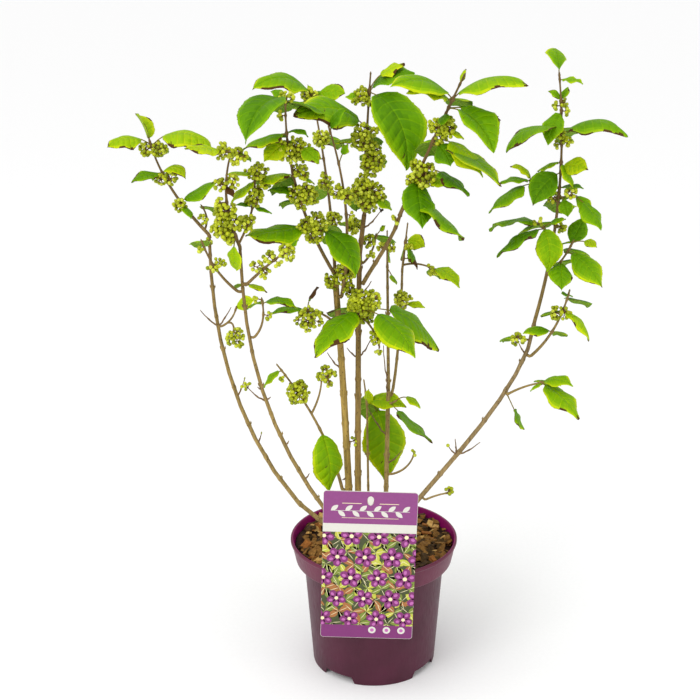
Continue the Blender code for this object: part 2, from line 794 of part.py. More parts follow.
                "fruit": ((0.58, 0.007, 180, 0), (0.59, 0.0065, 350, 0),),
            },
        ),
    },
    "foliage_e_right": {
        "limb": "bough_e_right", "height": 1.0, "heading": 70, "mates": False,
        "shoots": (
            {
                "end": (0.035, 0.12, 0.434), "bow": (0.0, 0.0, 0.0),
                "leaves": (
                    (0.66, 0.024, 330, 15, 50, -65), (0.64, 0.035, 300, -25, 40, 40),
                    (0.60, 0.050, 92, -20, 20, 75),
                ),
                "fruit": ((0.51, 0.0065, 350, 0),),
            },
            {
                "fork": 0.15, "end": (0.061, 0.098, 0.393), "bow": (0.0, 0.0, 0.003),
                "leaves": (
                    (1.00, 0.041, 320, 15, 75, -10), (0.90, 0.036, 66, -24, 20, 0),
                ),
                "fruit": (),
            },
        ),
    },
    "foliage_e_mid": {
        "limb": "bough_e_right", "height": 0.352, "heading": 300,
        "shoots": (
            {
                "end": (0.032, 0.056, 0.366), "bow": (0.0, 0.0, 0.0),
                "leaves": ((1.00, 0.021, 350, 25, 60, -25),),
                "fruit": ((1.00, 0.01, 170, 60),),
            },
        ),
    },
    "foliage_e_low": {
        "limb": "stem_e", "height": 0.268, "heading": 300,
        "shoots": (
            {
                "end": (0.022, 0.026, 0.274), "bow": (0.0, 0.0, 0.0),
                "leaves": (
                    (1.00, 0.034, 335, 55, 125, 5), (0.24, 0.064, 315, -25, 0, 25),
                ),
                "fruit": (),
            },
        ),
    },
    "foliage_e_foot": {
        "limb": "stem_e", "height": 0.196, "heading": 340,
        "shoots": (
            {
                "end": (0.04, 0.004, 0.224), "bow": (0.003, 0.0, -0.003),
                "leaves": (),
                "fruit": (),
            },
        ),
    },
    "foliage_f": {
        "limb": "stem_f", "height": 1.0, "heading": 90, "mates": False,
        "shoots": (
            {
                "end": (-0.01, 0.056, 0.284), "bow": (0.0, 0.0, 0.0),
                "leaves": (
                    (0.00, 0.018, 0, 85, 0, -50), (0.12, 0.045, 340, 30, 60, -30),
                    (0.50, 0.045, 70, -55, 30, 0),
                ),
                "fruit": (),
            },
            {
                "fork": 0.15, "end": (0.009, 0.072, 0.252), "bow": (0.0, 0.0, 0.0),
                "leaves": ((0.40, 0.087, 320, -55, 50, -30),),
                "fruit": (),
            },
        ),
    },
    "foliage_c_foot": {
        "limb": "stem_c", "height": 0.186, "heading": 165,
        "shoots": (
            {
                "end": (-0.092, -0.026, 0.33), "bow": (0.008, 0.004, 0.0),
                "leaves": (
                    (0.48, 0.069, 305, -40, 75, 0), (0.96, 0.026, 185, -15, 60, 15),
                ),
                "fruit": ((0.81, 0.0135, 290, 0),),
            },
            {
                "fork": 0.6, "end": (-0.05, -0.034, 0.318), "bow": (0.002, 0.0, 0.0),
                "leaves": (),
                "fruit": ((1.00, 0.0125, 320, 40),),
            },
        ),
    },
    "foliage_g_foot": {
        "limb": "stem_g", "height": 0.184, "heading": 330,
        "shoots": (
            {
                "end": (0.074, -0.01, 0.189), "bow": (0.0, 0.0, 0.001),
                "leaves": (),
                "fruit": (),
            },
        ),
    },
    "foliage_g_mid": {
        "limb": "stem_g", "height": 0.292, "heading": 300,
        "shoots": (
            {
                "end": (0.163, -0.024, 0.312), "bow": (0.0, 0.0, 0.002),
                "leaves": (
                    (0.96, 0.039, 320, 45, 75, -15), (0.96, 0.057, 310, 0, 50, 0),
                    (1.00, 0.016, 205, -5, 40, -10), (0.06, 0.042, 0, -65, 0, -15),
                    (0.95, 0.050, 66, -4, 38, 0),
                ),
                "fruit": (),
            },
        ),
    },
    "foliage_g_left": {
        "limb": "stem_g", "height": 0.344, "heading": 190,
        "shoots": (
            {
                "end": (0.141, 0.002, 0.35), "bow": (0.0, 0.0, 0.0),
                "leaves": ((0.80, 0.045, 108, -4, 38, 0),),
                "fruit": ((1.00, 0.0085, 250, 0),),
            },
        ),
    },
    "foliage_g_side": {
        "limb": "stem_g", "height": 0.33, "heading": 340,
        "shoots": (
            {
                "end": (0.187, -0.006, 0.398), "bow": (0.004, -0.002, -0.004),
                "leaves": (
                    (0.96, 0.012, 225, 30, 20, 40), (0.74, 0.045, 315, 15, 100, 20),
                    (0.46, 0.031, 190, 30, 60, 20), (0.90, 0.050, 54, -4, 38, 0),
                ),
                "fruit": ((0.70, 0.007, 170, 20), (0.78, 0.007, 280, -20),),
            },
        ),
    },
    "foliage_g_top": {
        "limb": "stem_g", "height": 1.0, "heading": 90,
        "shoots": (
            {
                "end": (0.172, 0.02, 0.6), "bow": (0.011, 0.0, 0.0),
                "leaves": (
                    (1.00, 0.042, 90, 60, 60, -15), (0.98, 0.024, 330, 15, 40, -15),
                    (0.90, 0.016, 180, 65, 60, 50), (0.90, 0.018, 55, 60, 40, 5),
                    (0.86, 0.039, 235, -25, 50, 15), (0.78, 0.070, 205, 35, 100, -5),
                    (0.76, 0.077, 325, 55, 100, -5), (0.66, 0.029, 305, -30, 40, 15),
                    (0.66, 0.027, 150, -5, 40, 15), (0.64, 0.038, 305, 25, 40, -55),
                    (0.62, 0.046, 215, -10, 60, 50), (0.56, 0.026, 325, 25, 40, -10),
                    (0.54, 0.027, 295, -30, 40, -25), (0.42, 0.058, 126, -4, 38, 0),
                    (0.79, 0.060, 84, -4, 38, 0), (0.50, 0.060, 78, -4, 38, 0),
                ),
                "fruit": (
                    (0.74, 0.0065, 350, 0), (0.52, 0.0065, 180, 0), (0.41, 0.0075, 350, -20),
                ),
            },
            {
                "fork": 0.2, "end": (0.19, 0.006, 0.444), "bow": (0.001, 0.0, -0.003),
                "leaves": (
                    (0.90, 0.034, 50, 55, 20, -25), (1.00, 0.026, 330, 25, 60, -20),
                    (0.46, 0.044, 265, 0, 50, 10), (0.74, 0.054, 310, -5, 50, -25),
                    (0.80, 0.050, 60, -4, 38, 0),
                ),
                "fruit": (),
            },
            {
                "fork": 0.5, "end": (0.149, 0.014, 0.501), "bow": (0.0, 0.0, 0.0),
                "leaves": (
                    (1.00, 0.029, 185, 85, 100, 20), (1.00, 0.034, 200, 25, 50, 5),
                    (0.92, 0.058, 210, 0, 50, -10),
                ),
                "fruit": (),
            },
            {
                "fork": 0.52, "end": (0.19, 0.008, 0.488), "bow": (0.0, 0.0, 0.0),
                "leaves": (
                    (0.96, 0.024, 315, -10, 40, -40), (1.00, 0.047, 305, -10, 50, 0),
                ),
                "fruit": ((0.80, 0.0075, 250, 60),),
            },
            {
                "fork": 0.36, "end": (0.158, 0.006, 0.461), "bow": (0.0, 0.0, 0.0),
                "leaves": (
                    (0.78, 0.025, 335, 45, 40, -20), (0.88, 0.050, 295, -25, 100, -25),
                    (0.90, 0.060, 150, 25, 75, -5), (0.70, 0.058, 205, 0, 50, -10),
                ),
                "fruit": ((1.00, 0.0065, 230, 40),),
            },
        ),
    },
}


# Building the plant


def limb_paths():
    """Every limb's path and end radii by name, each set 0.3 mm clear of what carries it."""
    made = {}
    for name, carrier, place, tip, delay, haste, foot_radius, tip_radius in LIMBS:
        tip = Vector(tip)
        if carrier is None:
            foot = Vector((place[0], place[1], SOIL_Z + GAP))
        elif place == 1.0:
            below = made[carrier][0]
            foot = below[-1] + (tip - below[-1]).normalized() * 2 * CLEARANCE
        else:
            foot = beside(made[carrier], place, tip, foot_radius)
        made[name] = (stem_path(foot, tip, delay, haste, LIMB_STEPS), foot_radius, tip_radius)
    return made


def beside(limb, height, towards, radius):
    """A point beside the limb at this height, on the side of the target, clear by the gap."""
    path, foot_radius, tip_radius = limb
    share = share_at_height(path, height)
    centre = point_on(path, share)
    side = towards - centre
    along = (point_on(path, share + NEAR_SHARE) - point_on(path, share - NEAR_SHARE)).normalized()
    side = (side - along * side.dot(along)).normalized()
    own_radius = foot_radius + (tip_radius - foot_radius) * share
    return centre + side * (own_radius + radius * BOUGH_SEAT + GAP)


def mass_start(limbs, mass):
    path, foot_radius, tip_radius = limbs[mass["limb"]]
    if mass["height"] == 1.0:
        along = (path[-1] - path[-2]).normalized()
        return path[-1] + along * GAP, along
    share = share_at_height(path, mass["height"])
    centre = point_on(path, share)
    along = (point_on(path, share + NEAR_SHARE) - point_on(path, share - NEAR_SHARE)).normalized()
    side = direction(mass["heading"])
    side = (side - along * side.dot(along)).normalized()
    own_radius = foot_radius + (tip_radius - foot_radius) * share
    return centre + side * (own_radius + CLEARANCE), side


def shoot_paths(limbs, mass):
    """Paths and end radii of a mass's shoots. The first leaves its limb squarely."""
    start, along = mass_start(limbs, mass)
    made = []
    for number, shoot in enumerate(mass["shoots"]):
        end = Vector(shoot["end"])
        if number == 0:
            root = min(SHOOT_THICKEST, SHOOT_TIP + SHOOT_TAPER * (end - start).length)
            path = shoot_path(start + along * SHOOT_START, end, shoot["bow"], SHOOT_STEPS)
            path.insert(0, start)
        else:
            root = SIDE_SHOOT_ROOT
            path = shoot_path(point_on(made[0][0], shoot["fork"]), end, shoot["bow"], SHOOT_STEPS)
        made.append((path, root, SHOOT_TIP))
    return made


def leaf_rows(mass_name, mass):
    """The listed leaves, and the mates that opposite leaves have unless the mate has fallen.

    Mates are dealt only to the back, since every leaf of the front is listed.
    """
    draw = random.Random(f"{SEED} {mass_name}")
    for number, shoot in enumerate(mass["shoots"]):
        for share, length, heading, rise, droop, roll in shoot["leaves"]:
            yield number, share, length, heading, rise, droop, math.radians(roll)
            keeps_mate = mass.get("mates", True) and draw.random() < MATE_SHARE
            size = draw.uniform(*MATE_SIZES)
            mate = (heading + 180 + draw.uniform(*MATE_TURNS)) % 360
            mate_roll = draw.uniform(*MATE_ROLLS)
            is_behind = BACK_HEADINGS[0] < mate < BACK_HEADINGS[1]
            if keeps_mate and is_behind and not is_taken(shoot["leaves"], share, mate):
                mate = 90 + (mate - 90) * MATE_SPREAD
                yield number, share, length * size, mate, MATE_RISE, LEAF_DROOP, mate_roll


def is_taken(rows, share, heading):
    """Whether a listed leaf already sits at this joint on this side."""
    for row in rows:
        between = abs((heading - row[2] + 180) % 360 - 180)
        if abs(share - row[0]) < JOINT_SHARE and between < JOINT_ANGLE:
            return True
    return False


def tree_of(points, faces):
    return BVHTree.FromPolygons([tuple(p) for p in points], faces, epsilon=0.0)


def make_plant():
    bark = plain_material("bark", (0.30, 0.20, 0.10), 0.8)
    foliage = plain_material("leaf_and_fruit", (0.12, 0.30, 0.02), 0.5)
    limbs = limb_paths()
    taken = {}
    for name, (path, foot_radius, tip_radius) in limbs.items():
        stands = name.startswith("stem")
        flare = FOOT_FLARE if stands else 0.0
        points, faces = tube(path, foot_radius, tip_radius, BARK_SIDES, flare, stands)
        new_object(name, points, faces, bark, smooth=True)
        taken[name] = [tree_of(*tube(path, foot_radius + SKIN, tip_radius + SKIN, BARK_SIDES))]
    woody = {}
    for name, mass in MASSES.items():
        draw = random.Random(f"{name} {SEED}")
        parts = []
        paths = shoot_paths(limbs, mass)
        for path, root, tip in paths:
            parts.append(tube(path, root, tip, TWIG_SIDES if parts else TWIG_SIDES + 1))
        for (path, _, _), shoot in zip(paths, mass["shoots"]):
            for share, radius, heading, rise in shoot["fruit"]:
                turn = draw.uniform(*BUNCH_TURNS)
                for size in CLEAR_SIZES:
                    centre = point_on(path, share) + direction(heading, rise) * radius * size * BUNCH_SET
                    bunch = berry_bunch(centre, radius * size, turn)
                    if not touches_others(name, tree_of(*bunch), taken):
                        parts.append(bunch)
                        break
        woody[name] = (paths, parts)
        taken[name] = [tree_of(points, faces) for points, faces in parts]
    for name, mass in MASSES.items():
        paths, parts = woody[name]
        for number, share, length, *lie in leaf_rows(name, mass):
            base = point_on(paths[number][0], share)
            for size in CLEAR_SIZES:
                points, faces = leaf_shape(base, length * size, *lie)
                tree = tree_of(points, faces)
                if not touches_others(name, tree, taken):
                    parts.append((points, faces))
                    taken[name].append(tree)
                    break
        shapes = [new_object(f"{name}_{k}", *part, foliage) for k, part in enumerate(parts)]
        body = shapes[0]
        body.name = name
        fuse(body, shapes[1:])


def touches_others(name, tree, taken):
    for other, trees in taken.items():
        if other != name and any(tree.overlap(near) for near in trees):
            return True
    return False


clear_scene()
make_pot()
make_compost()
make_label()
make_plant()
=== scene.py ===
"""Looks of a young beautyberry shrub that stands in its plum nursery pot."""

import random
from collections import namedtuple
from math import ceil, cos, hypot, log, pi, radians, sin, sqrt

import bmesh
import bpy
import numpy as np
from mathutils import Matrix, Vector


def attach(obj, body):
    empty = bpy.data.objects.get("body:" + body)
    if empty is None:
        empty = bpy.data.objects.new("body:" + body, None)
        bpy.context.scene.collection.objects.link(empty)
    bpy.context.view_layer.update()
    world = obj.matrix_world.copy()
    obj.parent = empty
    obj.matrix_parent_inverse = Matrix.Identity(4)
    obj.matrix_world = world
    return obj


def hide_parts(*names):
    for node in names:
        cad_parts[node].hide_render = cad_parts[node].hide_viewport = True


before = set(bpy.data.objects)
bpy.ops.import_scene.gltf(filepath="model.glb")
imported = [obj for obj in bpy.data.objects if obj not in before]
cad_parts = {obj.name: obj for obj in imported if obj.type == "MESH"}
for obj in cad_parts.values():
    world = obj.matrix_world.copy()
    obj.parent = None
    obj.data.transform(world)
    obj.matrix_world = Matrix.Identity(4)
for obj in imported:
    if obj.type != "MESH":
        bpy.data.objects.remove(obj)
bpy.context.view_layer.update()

# Nursery pot
# One injection moulding in plum polypropylene: a tapering wall, a wider collar with a lip that pots stack
# by, and a foot ring with four drain notches. Outside, the collar is painted a lighter plum as painted
# sheen. Near the top, where it shows above the mulch, the inner wall is painted a bright magenta as painted
# light shining through the thin plastic.

POT_HEIGHT = 0.137
RIM_RADIUS = 0.085
FOOT_RADIUS = 0.0634
NECK_RADIUS = 0.0715
COLLAR_RADIUS = 0.0795
COLLAR_Z = 0.112
WALL = 0.002
CHANNEL_HEIGHT = 0.008
HUB_RADIUS = 0.039
POT_SIDES = 160
NOTCH_HEIGHT = 0.0075
NOTCH_ANGLES = (55, 145, 235, 325)
NOTCH_HALF_WIDTH = 0.0155
NOTCH_SLOPE = 0.004
NOTCH_REACH = 0.012
HUB_SLOPE = 0.002
FLOOR_DRAFT = 0.0004
COLLAR_STEP = 0.001
INNER_STEP = 0.0035
RIM_CURL = 0.0012
RIM_DEPTH = 0.004
RIM_BAND = 0.003
RIM_FLAT = 0.0026
RIM_WIDTH = 0.0032
EASE_LIMIT = 0.49
SHARP_ANGLE = 50
GLOW_DEPTH = 0.02
PLASTIC_CLOUD = 0.035
SCRATCH_WIDTH = 0.0013
MOULD_GRAIN = 0.0009
MOULD_WAVE = 0.02
UPRIGHT = (1, 1, 0.12)
OUTSIDE, SHEEN_COLLAR, GLOW_INSIDE = range(3)


def direction(heading, rise=0.0):
    """A unit vector. Heading is in degrees from +X towards +Y, and rise in degrees above the level."""
    turn, tilt = radians(heading), radians(rise)
    return Vector((cos(turn) * cos(tilt), sin(turn) * cos(tilt), sin(tilt)))


def pigment(red, green, blue):
    """A colour as it is seen on a screen, 0 to 255, turned into the shader's own light values."""
    def light(value):
        value /= 255
        return value / 12.92 if value <= 0.04045 else ((value + 0.055) / 1.055) ** 2.4
    return (light(red), light(green), light(blue), 1.0)


def plain_finish(name, colour, roughness, shine=0.5):
    """A material with one colour and shine, and its tree and shader for the detail that is added."""
    material = bpy.data.materials.new(name)
    material.use_nodes = True
    tree = material.node_tree
    shader = tree.nodes["Principled BSDF"]
    shader.inputs["Base Color"].default_value = colour
    shader.inputs["Roughness"].default_value = roughness
    shader.inputs["Specular IOR Level"].default_value = shine
    return material, tree, shader


def own_coordinates(tree, stretch=(1, 1, 1)):
    """The object's own coordinates, times these three numbers."""
    place = tree.nodes.new("ShaderNodeTexCoord")
    mapping = tree.nodes.new("ShaderNodeMapping")
    mapping.inputs["Scale"].default_value = stretch
    tree.links.new(place.outputs["Object"], mapping.inputs["Vector"])
    return mapping.outputs["Vector"]


def noise(tree, where, size, detail=4.0, roughness=0.5):
    """Noise whose blotches are about this size in metres."""
    made = tree.nodes.new("ShaderNodeTexNoise")
    made.inputs["Scale"].default_value = 1 / size
    made.inputs["Detail"].default_value = detail
    made.inputs["Roughness"].default_value = roughness
    tree.links.new(where, made.inputs["Vector"])
    return made.outputs["Fac"]


def ramp(tree, value, stops):
    """Colours or greys by value. Each stop is a place from 0 to 1 and a colour."""
    made = tree.nodes.new("ShaderNodeValToRGB")
    tree.links.new(value, made.inputs["Fac"])
    points = made.color_ramp.elements
    while len(points) < len(stops):
        points.new(0.5)
    for point, (place, colour) in zip(points, stops):
        point.position = place
        point.color = colour
    return made.outputs["Color"]


def grey(value):
    """A grey as a colour, for the stops of a ramp."""
    return (value, value, value, 1.0)


def bump(tree, shader, height, strength, depth):
    """Relief from a height, on top of any relief that the shader has."""
    made = tree.nodes.new("ShaderNodeBump")
    made.inputs["Strength"].default_value = strength
    made.inputs["Distance"].default_value = depth
    tree.links.new(height, made.inputs["Height"])
    if shader.inputs["Normal"].is_linked:
        tree.links.new(shader.inputs["Normal"].links[0].from_socket, made.inputs["Normal"])
    tree.links.new(made.outputs["Normal"], shader.inputs["Normal"])


def new_piece(name, points, faces, materials, kinds=None, smooth=True):
    """An object made from points and faces. Kinds gives each face the number of its material."""
    mesh = bpy.data.meshes.new(name)
    mesh.from_pydata(points, [], faces)
    for material in materials:
        mesh.materials.append(material)
    if kinds is not None:
        mesh.polygons.foreach_set("material_index", kinds)
    if smooth:
        mesh.shade_smooth()
    mesh.update()
    made = bpy.data.objects.new(name, mesh)
    bpy.context.collection.objects.link(made)
    return made


def dress(piece, slot, *nodes):
    """Lets the piece ride on the one body and stand for these nodes. The slot is not used."""
    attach(piece, "root")
    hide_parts(*nodes)


def eased(corners, steps=4):
    """The profile with each corner eased by its own reach. A corner is radius, height and reach."""
    made = []
    for k, (radius, height, reach) in enumerate(corners):
        if reach == 0:
            made.append((radius, height))
            continue
        here = Vector((radius, height))
        before = Vector(corners[k - 1][:2]) - here
        after = Vector(corners[k + 1][:2]) - here
        start = here + before.normalized() * min(reach, before.length * EASE_LIMIT)
        end = here + after.normalized() * min(reach, after.length * EASE_LIMIT)
        for step in range(steps + 1):
            share = step / steps
            made.append(tuple(start.lerp(here, share).lerp(here.lerp(end, share), share)))
    return made


def turned(name, profile, sides, materials):
    """A solid turned round Z from a profile of (radius, height) that starts and ends on the axis."""
    points = [(0, 0, profile[0][1])]
    for radius, height in profile[1:-1]:
        for k in range(sides):
            points.append(tuple(direction(360 * k / sides) * radius + Vector((0, 0, height))))
    points.append((0, 0, profile[-1][1]))
    rings = len(profile) - 2
    faces = []
    for k in range(sides):
        after = (k + 1) % sides
        faces.append((0, 1 + after, 1 + k))
        for ring in range(rings - 1):
            low, high = 1 + ring * sides, 1 + (ring + 1) * sides
            faces.append((low + k, low + after, high + after, high + k))
        last = 1 + (rings - 1) * sides
        faces.append((last + k, last + after, len(points) - 1))
    return new_piece(name, points, faces, materials)


def cut(body, cutter):
    """Takes the cutter out of the body and removes the cutter."""
    step = body.modifiers.new("cut", "BOOLEAN")
    step.operation = "DIFFERENCE"
    step.object = cutter
    graph = bpy.context.evaluated_depsgraph_get()
    made = bpy.data.meshes.new_from_object(body.evaluated_get(graph))
    body.modifiers.clear()
    body.data = made
    bpy.data.objects.remove(cutter)


def notch_cutter(angle):
    """A wedge for one drain notch in the foot ring. It is wider at the floor than at its top."""
    outward, sideways = direction(angle), direction(angle + 90)
    points = []
    for reach in (FOOT_RADIUS - NOTCH_REACH, FOOT_RADIUS + NOTCH_REACH):
        for side, height in ((-1, -WALL), (1, -WALL), (1, NOTCH_HEIGHT), (-1, NOTCH_HEIGHT)):
            half = NOTCH_HALF_WIDTH + (NOTCH_SLOPE if height < 0 else 0)
            points.append(tuple(outward * reach + sideways * side * half + Vector((0, 0, height))))
    faces = [(3, 2, 1, 0), (4, 5, 6, 7), (1, 5, 4, 0), (2, 6, 5, 1), (3, 7, 6, 2), (0, 4, 7, 3)]
    return new_piece("notch", points, faces, [], smooth=False)


def plum_plastic(name, colour, clear_colour, roughness):
    """Moulded plastic: faint cloudy colour, a fine grain, and thin handling scratches that run upright."""
    material, tree, shader = plain_finish(name, colour, roughness, 0.28)
    where = own_coordinates(tree)
    cloud = noise(tree, where, PLASTIC_CLOUD, 3)
    colours = ramp(tree, cloud, ((0.35, colour), (0.7, clear_colour)))
    tree.links.new(colours, shader.inputs["Base Color"])
    scratch = noise(tree, own_coordinates(tree, UPRIGHT), SCRATCH_WIDTH, 2)
    worn = ramp(tree, scratch, ((0.3, grey(roughness - 0.06)), (0.72, grey(roughness + 0.12))))
    tree.links.new(worn, shader.inputs["Roughness"])
    bump(tree, shader, noise(tree, where, MOULD_GRAIN, 2), 0.12, 0.0002)
    bump(tree, shader, noise(tree, where, MOULD_WAVE, 2), 0.15, 0.001)
    return material


def make_pot():
    """The pot, turned from its profile and notched. Its collar has a painted sheen and its upper inside a
    painted glow, each a finish of its own.
    """
    roof = CHANNEL_HEIGHT
    floor = roof + WALL
    corners = [
        (0, 0, 0),
        (HUB_RADIUS - HUB_SLOPE, 0, 0.0005),
        (HUB_RADIUS, roof, 0.0005),
        (FOOT_RADIUS - WALL, roof, 0.0005),
        (FOOT_RADIUS - WALL, 0, 0.0004),
        (FOOT_RADIUS, 0, 0.0006),
        (NECK_RADIUS, COLLAR_Z, 0.0007),
        (COLLAR_RADIUS, COLLAR_Z + COLLAR_STEP, 0.0022),
        (RIM_RADIUS - RIM_CURL, POT_HEIGHT - RIM_DEPTH, 0.0006),
        (RIM_RADIUS, POT_HEIGHT - RIM_BAND, 0.0007),
        (RIM_RADIUS, POT_HEIGHT, 0.0011),
        (RIM_RADIUS - RIM_FLAT, POT_HEIGHT, 0.0009),
        (RIM_RADIUS - RIM_WIDTH, POT_HEIGHT - RIM_DEPTH, 0.0008),
        (COLLAR_RADIUS - WALL, COLLAR_Z + INNER_STEP, 0.0015),
        (NECK_RADIUS - WALL, COLLAR_Z + COLLAR_STEP, 0.0008),
        (FOOT_RADIUS - WALL + FLOOR_DRAFT, floor, 0.0008),
        (HUB_RADIUS - WALL, floor, 0.0005),
        (HUB_RADIUS - WALL - HUB_SLOPE, WALL, 0.0005),
        (0, WALL, 0),
    ]
    # The collar's lighter plum is painted sheen. The inside's bright magenta is painted light shining through
    # the plastic.
    outside = plum_plastic("plum_plastic", pigment(70, 22, 42), pigment(80, 27, 50), 0.44)
    collar = plum_plastic("plum_collar_painted_sheen", pigment(94, 30, 56), pigment(108, 37, 66), 0.4)
    inside = plum_plastic("purple_inside_painted_glow", pigment(128, 0, 88), pigment(146, 6, 102), 0.45)
    pot = turned("pot_moulding", eased(corners), POT_SIDES, [outside, collar, inside])
    for angle in NOTCH_ANGLES:
        cut(pot, notch_cutter(angle - 90))
    # Inward faces near the top take the painted glow. Faces above the collar step take the painted sheen.
    for face in pot.data.polygons:
        middle, normal = face.center, face.normal
        inward = normal.x * middle.x + normal.y * middle.y < 0
        if inward and middle.z > COLLAR_Z - GLOW_DEPTH:
            face.material_index = GLOW_INSIDE
        elif middle.z > COLLAR_Z + COLLAR_STEP / 2:
            face.material_index = SHEEN_COLLAR
        else:
            face.material_index = OUTSIDE
    pot.data.set_sharp_from_angle(angle=radians(SHARP_ANGLE))
    dress(pot, "pot", "pot")


make_pot()

# Compost under a mulch of bark
# Peat-free compost fills the pot, and a loose layer of chipped pine bark lies on it, in chips up to
# 18 mm long, from nearly black through red brown to pale sapwood. It lies uneven, about 7 mm under the rim.

SOIL_Z = 0.129
MULCH_RADIUS = 0.0801
BROAD_SWELL = 0.0014
SHORT_SWELL = 0.0010
WALL_SINK = 0.001
COMPOST_RINGS = 22
COMPOST_SIDES = 96
FLOOR_GAP = 0.0005
FOOT_GAP = 0.0006
SIDE_GAP = 0.0008
SHOULDER_RISE = 0.004
CHIP_COUNT = 760
CHIP_CORNERS = 16
CHIP_FILL = (0.45, 1.0)
CHIP_LENGTH = (0.006, 0.018)
CHIP_SHORTER = (0.55, 1.0)
CHIP_WIDTH = (0.3, 0.75)
CHIP_DEPTH = (0.25, 0.7)
CHIP_MOST_DEPTH = 0.004
CHIP_PITCH = 16
CHIP_BANK = 18
CHIP_SINK = 0.2
CHIP_PILE = 0.0032
CHIP_SPILL = 0.0004
CHIP_SHARES = (26, 40, 14, 20)
MULCH_SEED = 31


def mulch_height(x, y):
    """How high the compost lies here: a few shallow swells, a little lower at the wall."""
    broad = BROAD_SWELL * sin(70 * x + 1.3) * cos(62 * y - 0.4)
    short = SHORT_SWELL * sin(120 * (x - y))
    return SOIL_Z + (broad + short) - WALL_SINK * (hypot(x, y) / MULCH_RADIUS) ** 4


def bark_finish(name, dark, pale, grain):
    """Broken bark or soil: dark and pale blotches, fine pits, and a dry surface."""
    material, tree, shader = plain_finish(name, dark, 0.85, 0.25)
    where = own_coordinates(tree)
    blotch = noise(tree, where, grain, 6, 0.65)
    tree.links.new(ramp(tree, blotch, ((0.32, dark), (0.68, pale))), shader.inputs["Base Color"])
    bump(tree, shader, noise(tree, where, grain * 0.3, 4, 0.7), 0.7, 0.0012)
    return material


def make_compost():
    """The compost as one closed body, its top moulded by the mulch's swells."""
    soil = bark_finish("compost_soil", pigment(30, 17, 11), pigment(64, 38, 24), 0.004)
    rings, sides = COMPOST_RINGS, COMPOST_SIDES
    floor_z = CHANNEL_HEIGHT + WALL + FLOOR_GAP
    outline = [
        (FOOT_RADIUS - WALL - FOOT_GAP, floor_z),
        (NECK_RADIUS - WALL - SIDE_GAP, COLLAR_Z),
        (COLLAR_RADIUS - WALL - SIDE_GAP, COLLAR_Z + SHOULDER_RISE),
    ]
    points = [(0, 0, floor_z)]
    for radius, height in outline:
        points += [tuple(direction(360 * k / sides) * radius + Vector((0, 0, height))) for k in range(sides)]
    for ring in range(rings):
        radius = MULCH_RADIUS * (1 - ring / rings)
        for k in range(sides):
            spot = direction(360 * k / sides) * radius
            points.append((spot.x, spot.y, mulch_height(spot.x, spot.y)))
    points.append((0, 0, mulch_height(0, 0)))
    faces = [(0, 1 + (k + 1) % sides, 1 + k) for k in range(sides)]
    for ring in range(len(outline) + rings - 1):
        low, high = 1 + ring * sides, 1 + (ring + 1) * sides
        for k in range(sides):
            after = (k + 1) % sides
            faces.append((low + k, low + after, high + after, high + k))
    last = len(points) - 1
    faces += [(last - sides + k, last - sides + (k + 1) % sides, last) for k in range(sides)]
    compost = new_piece("compost_fill", points, faces, [soil])
    dress(compost, "compost", "compost")


def bark_chip(draw):
    """One chip as the hull of a few points strewn in a flat box, its long way along X."""
    length = draw.uniform(*CHIP_LENGTH) * draw.uniform(*CHIP_SHORTER)
    width = length * draw.uniform(*CHIP_WIDTH)
    depth = min(width * draw.uniform(*CHIP_DEPTH), CHIP_MOST_DEPTH)
    shape = bmesh.new()
    for _ in range(CHIP_CORNERS):
        spot = Vector([draw.choice((-1, 1)) * draw.uniform(*CHIP_FILL) / 2 for _ in range(3)])
        shape.verts.new((spot.x * length, spot.y * width, spot.z * depth))
    bmesh.ops.convex_hull(shape, input=shape.verts)
    bmesh.ops.delete(shape, geom=[vertex for vertex in shape.verts if not vertex.link_faces], context="VERTS")
    bmesh.ops.recalc_face_normals(shape, faces=shape.faces)
    shape.verts.index_update()
    points = [vertex.co.copy() for vertex in shape.verts]
    faces = [tuple(vertex.index for vertex in face.verts) for face in shape.faces]
    shape.free()
    return points, faces, depth


class Bundle:
    """Points, faces and material numbers of many small things that are joined as one piece."""

    def __init__(self):
        self.points, self.faces, self.kinds, self.count = [], [], [], 0

    def add(self, points, faces, kinds):
        """Adds one small thing, with one material number for all its faces or one for each."""
        self.points.append(np.asarray(points, dtype=float))
        self.faces += [tuple(self.count + corner for corner in face) for face in faces]
        self.kinds += [kinds] * len(faces) if isinstance(kinds, int) else list(kinds)
        self.count += len(points)

    def piece(self, name, materials, smooth=True):
        """All of it as one piece."""
        return new_piece(name, np.concatenate(self.points), self.faces, materials, self.kinds, smooth)


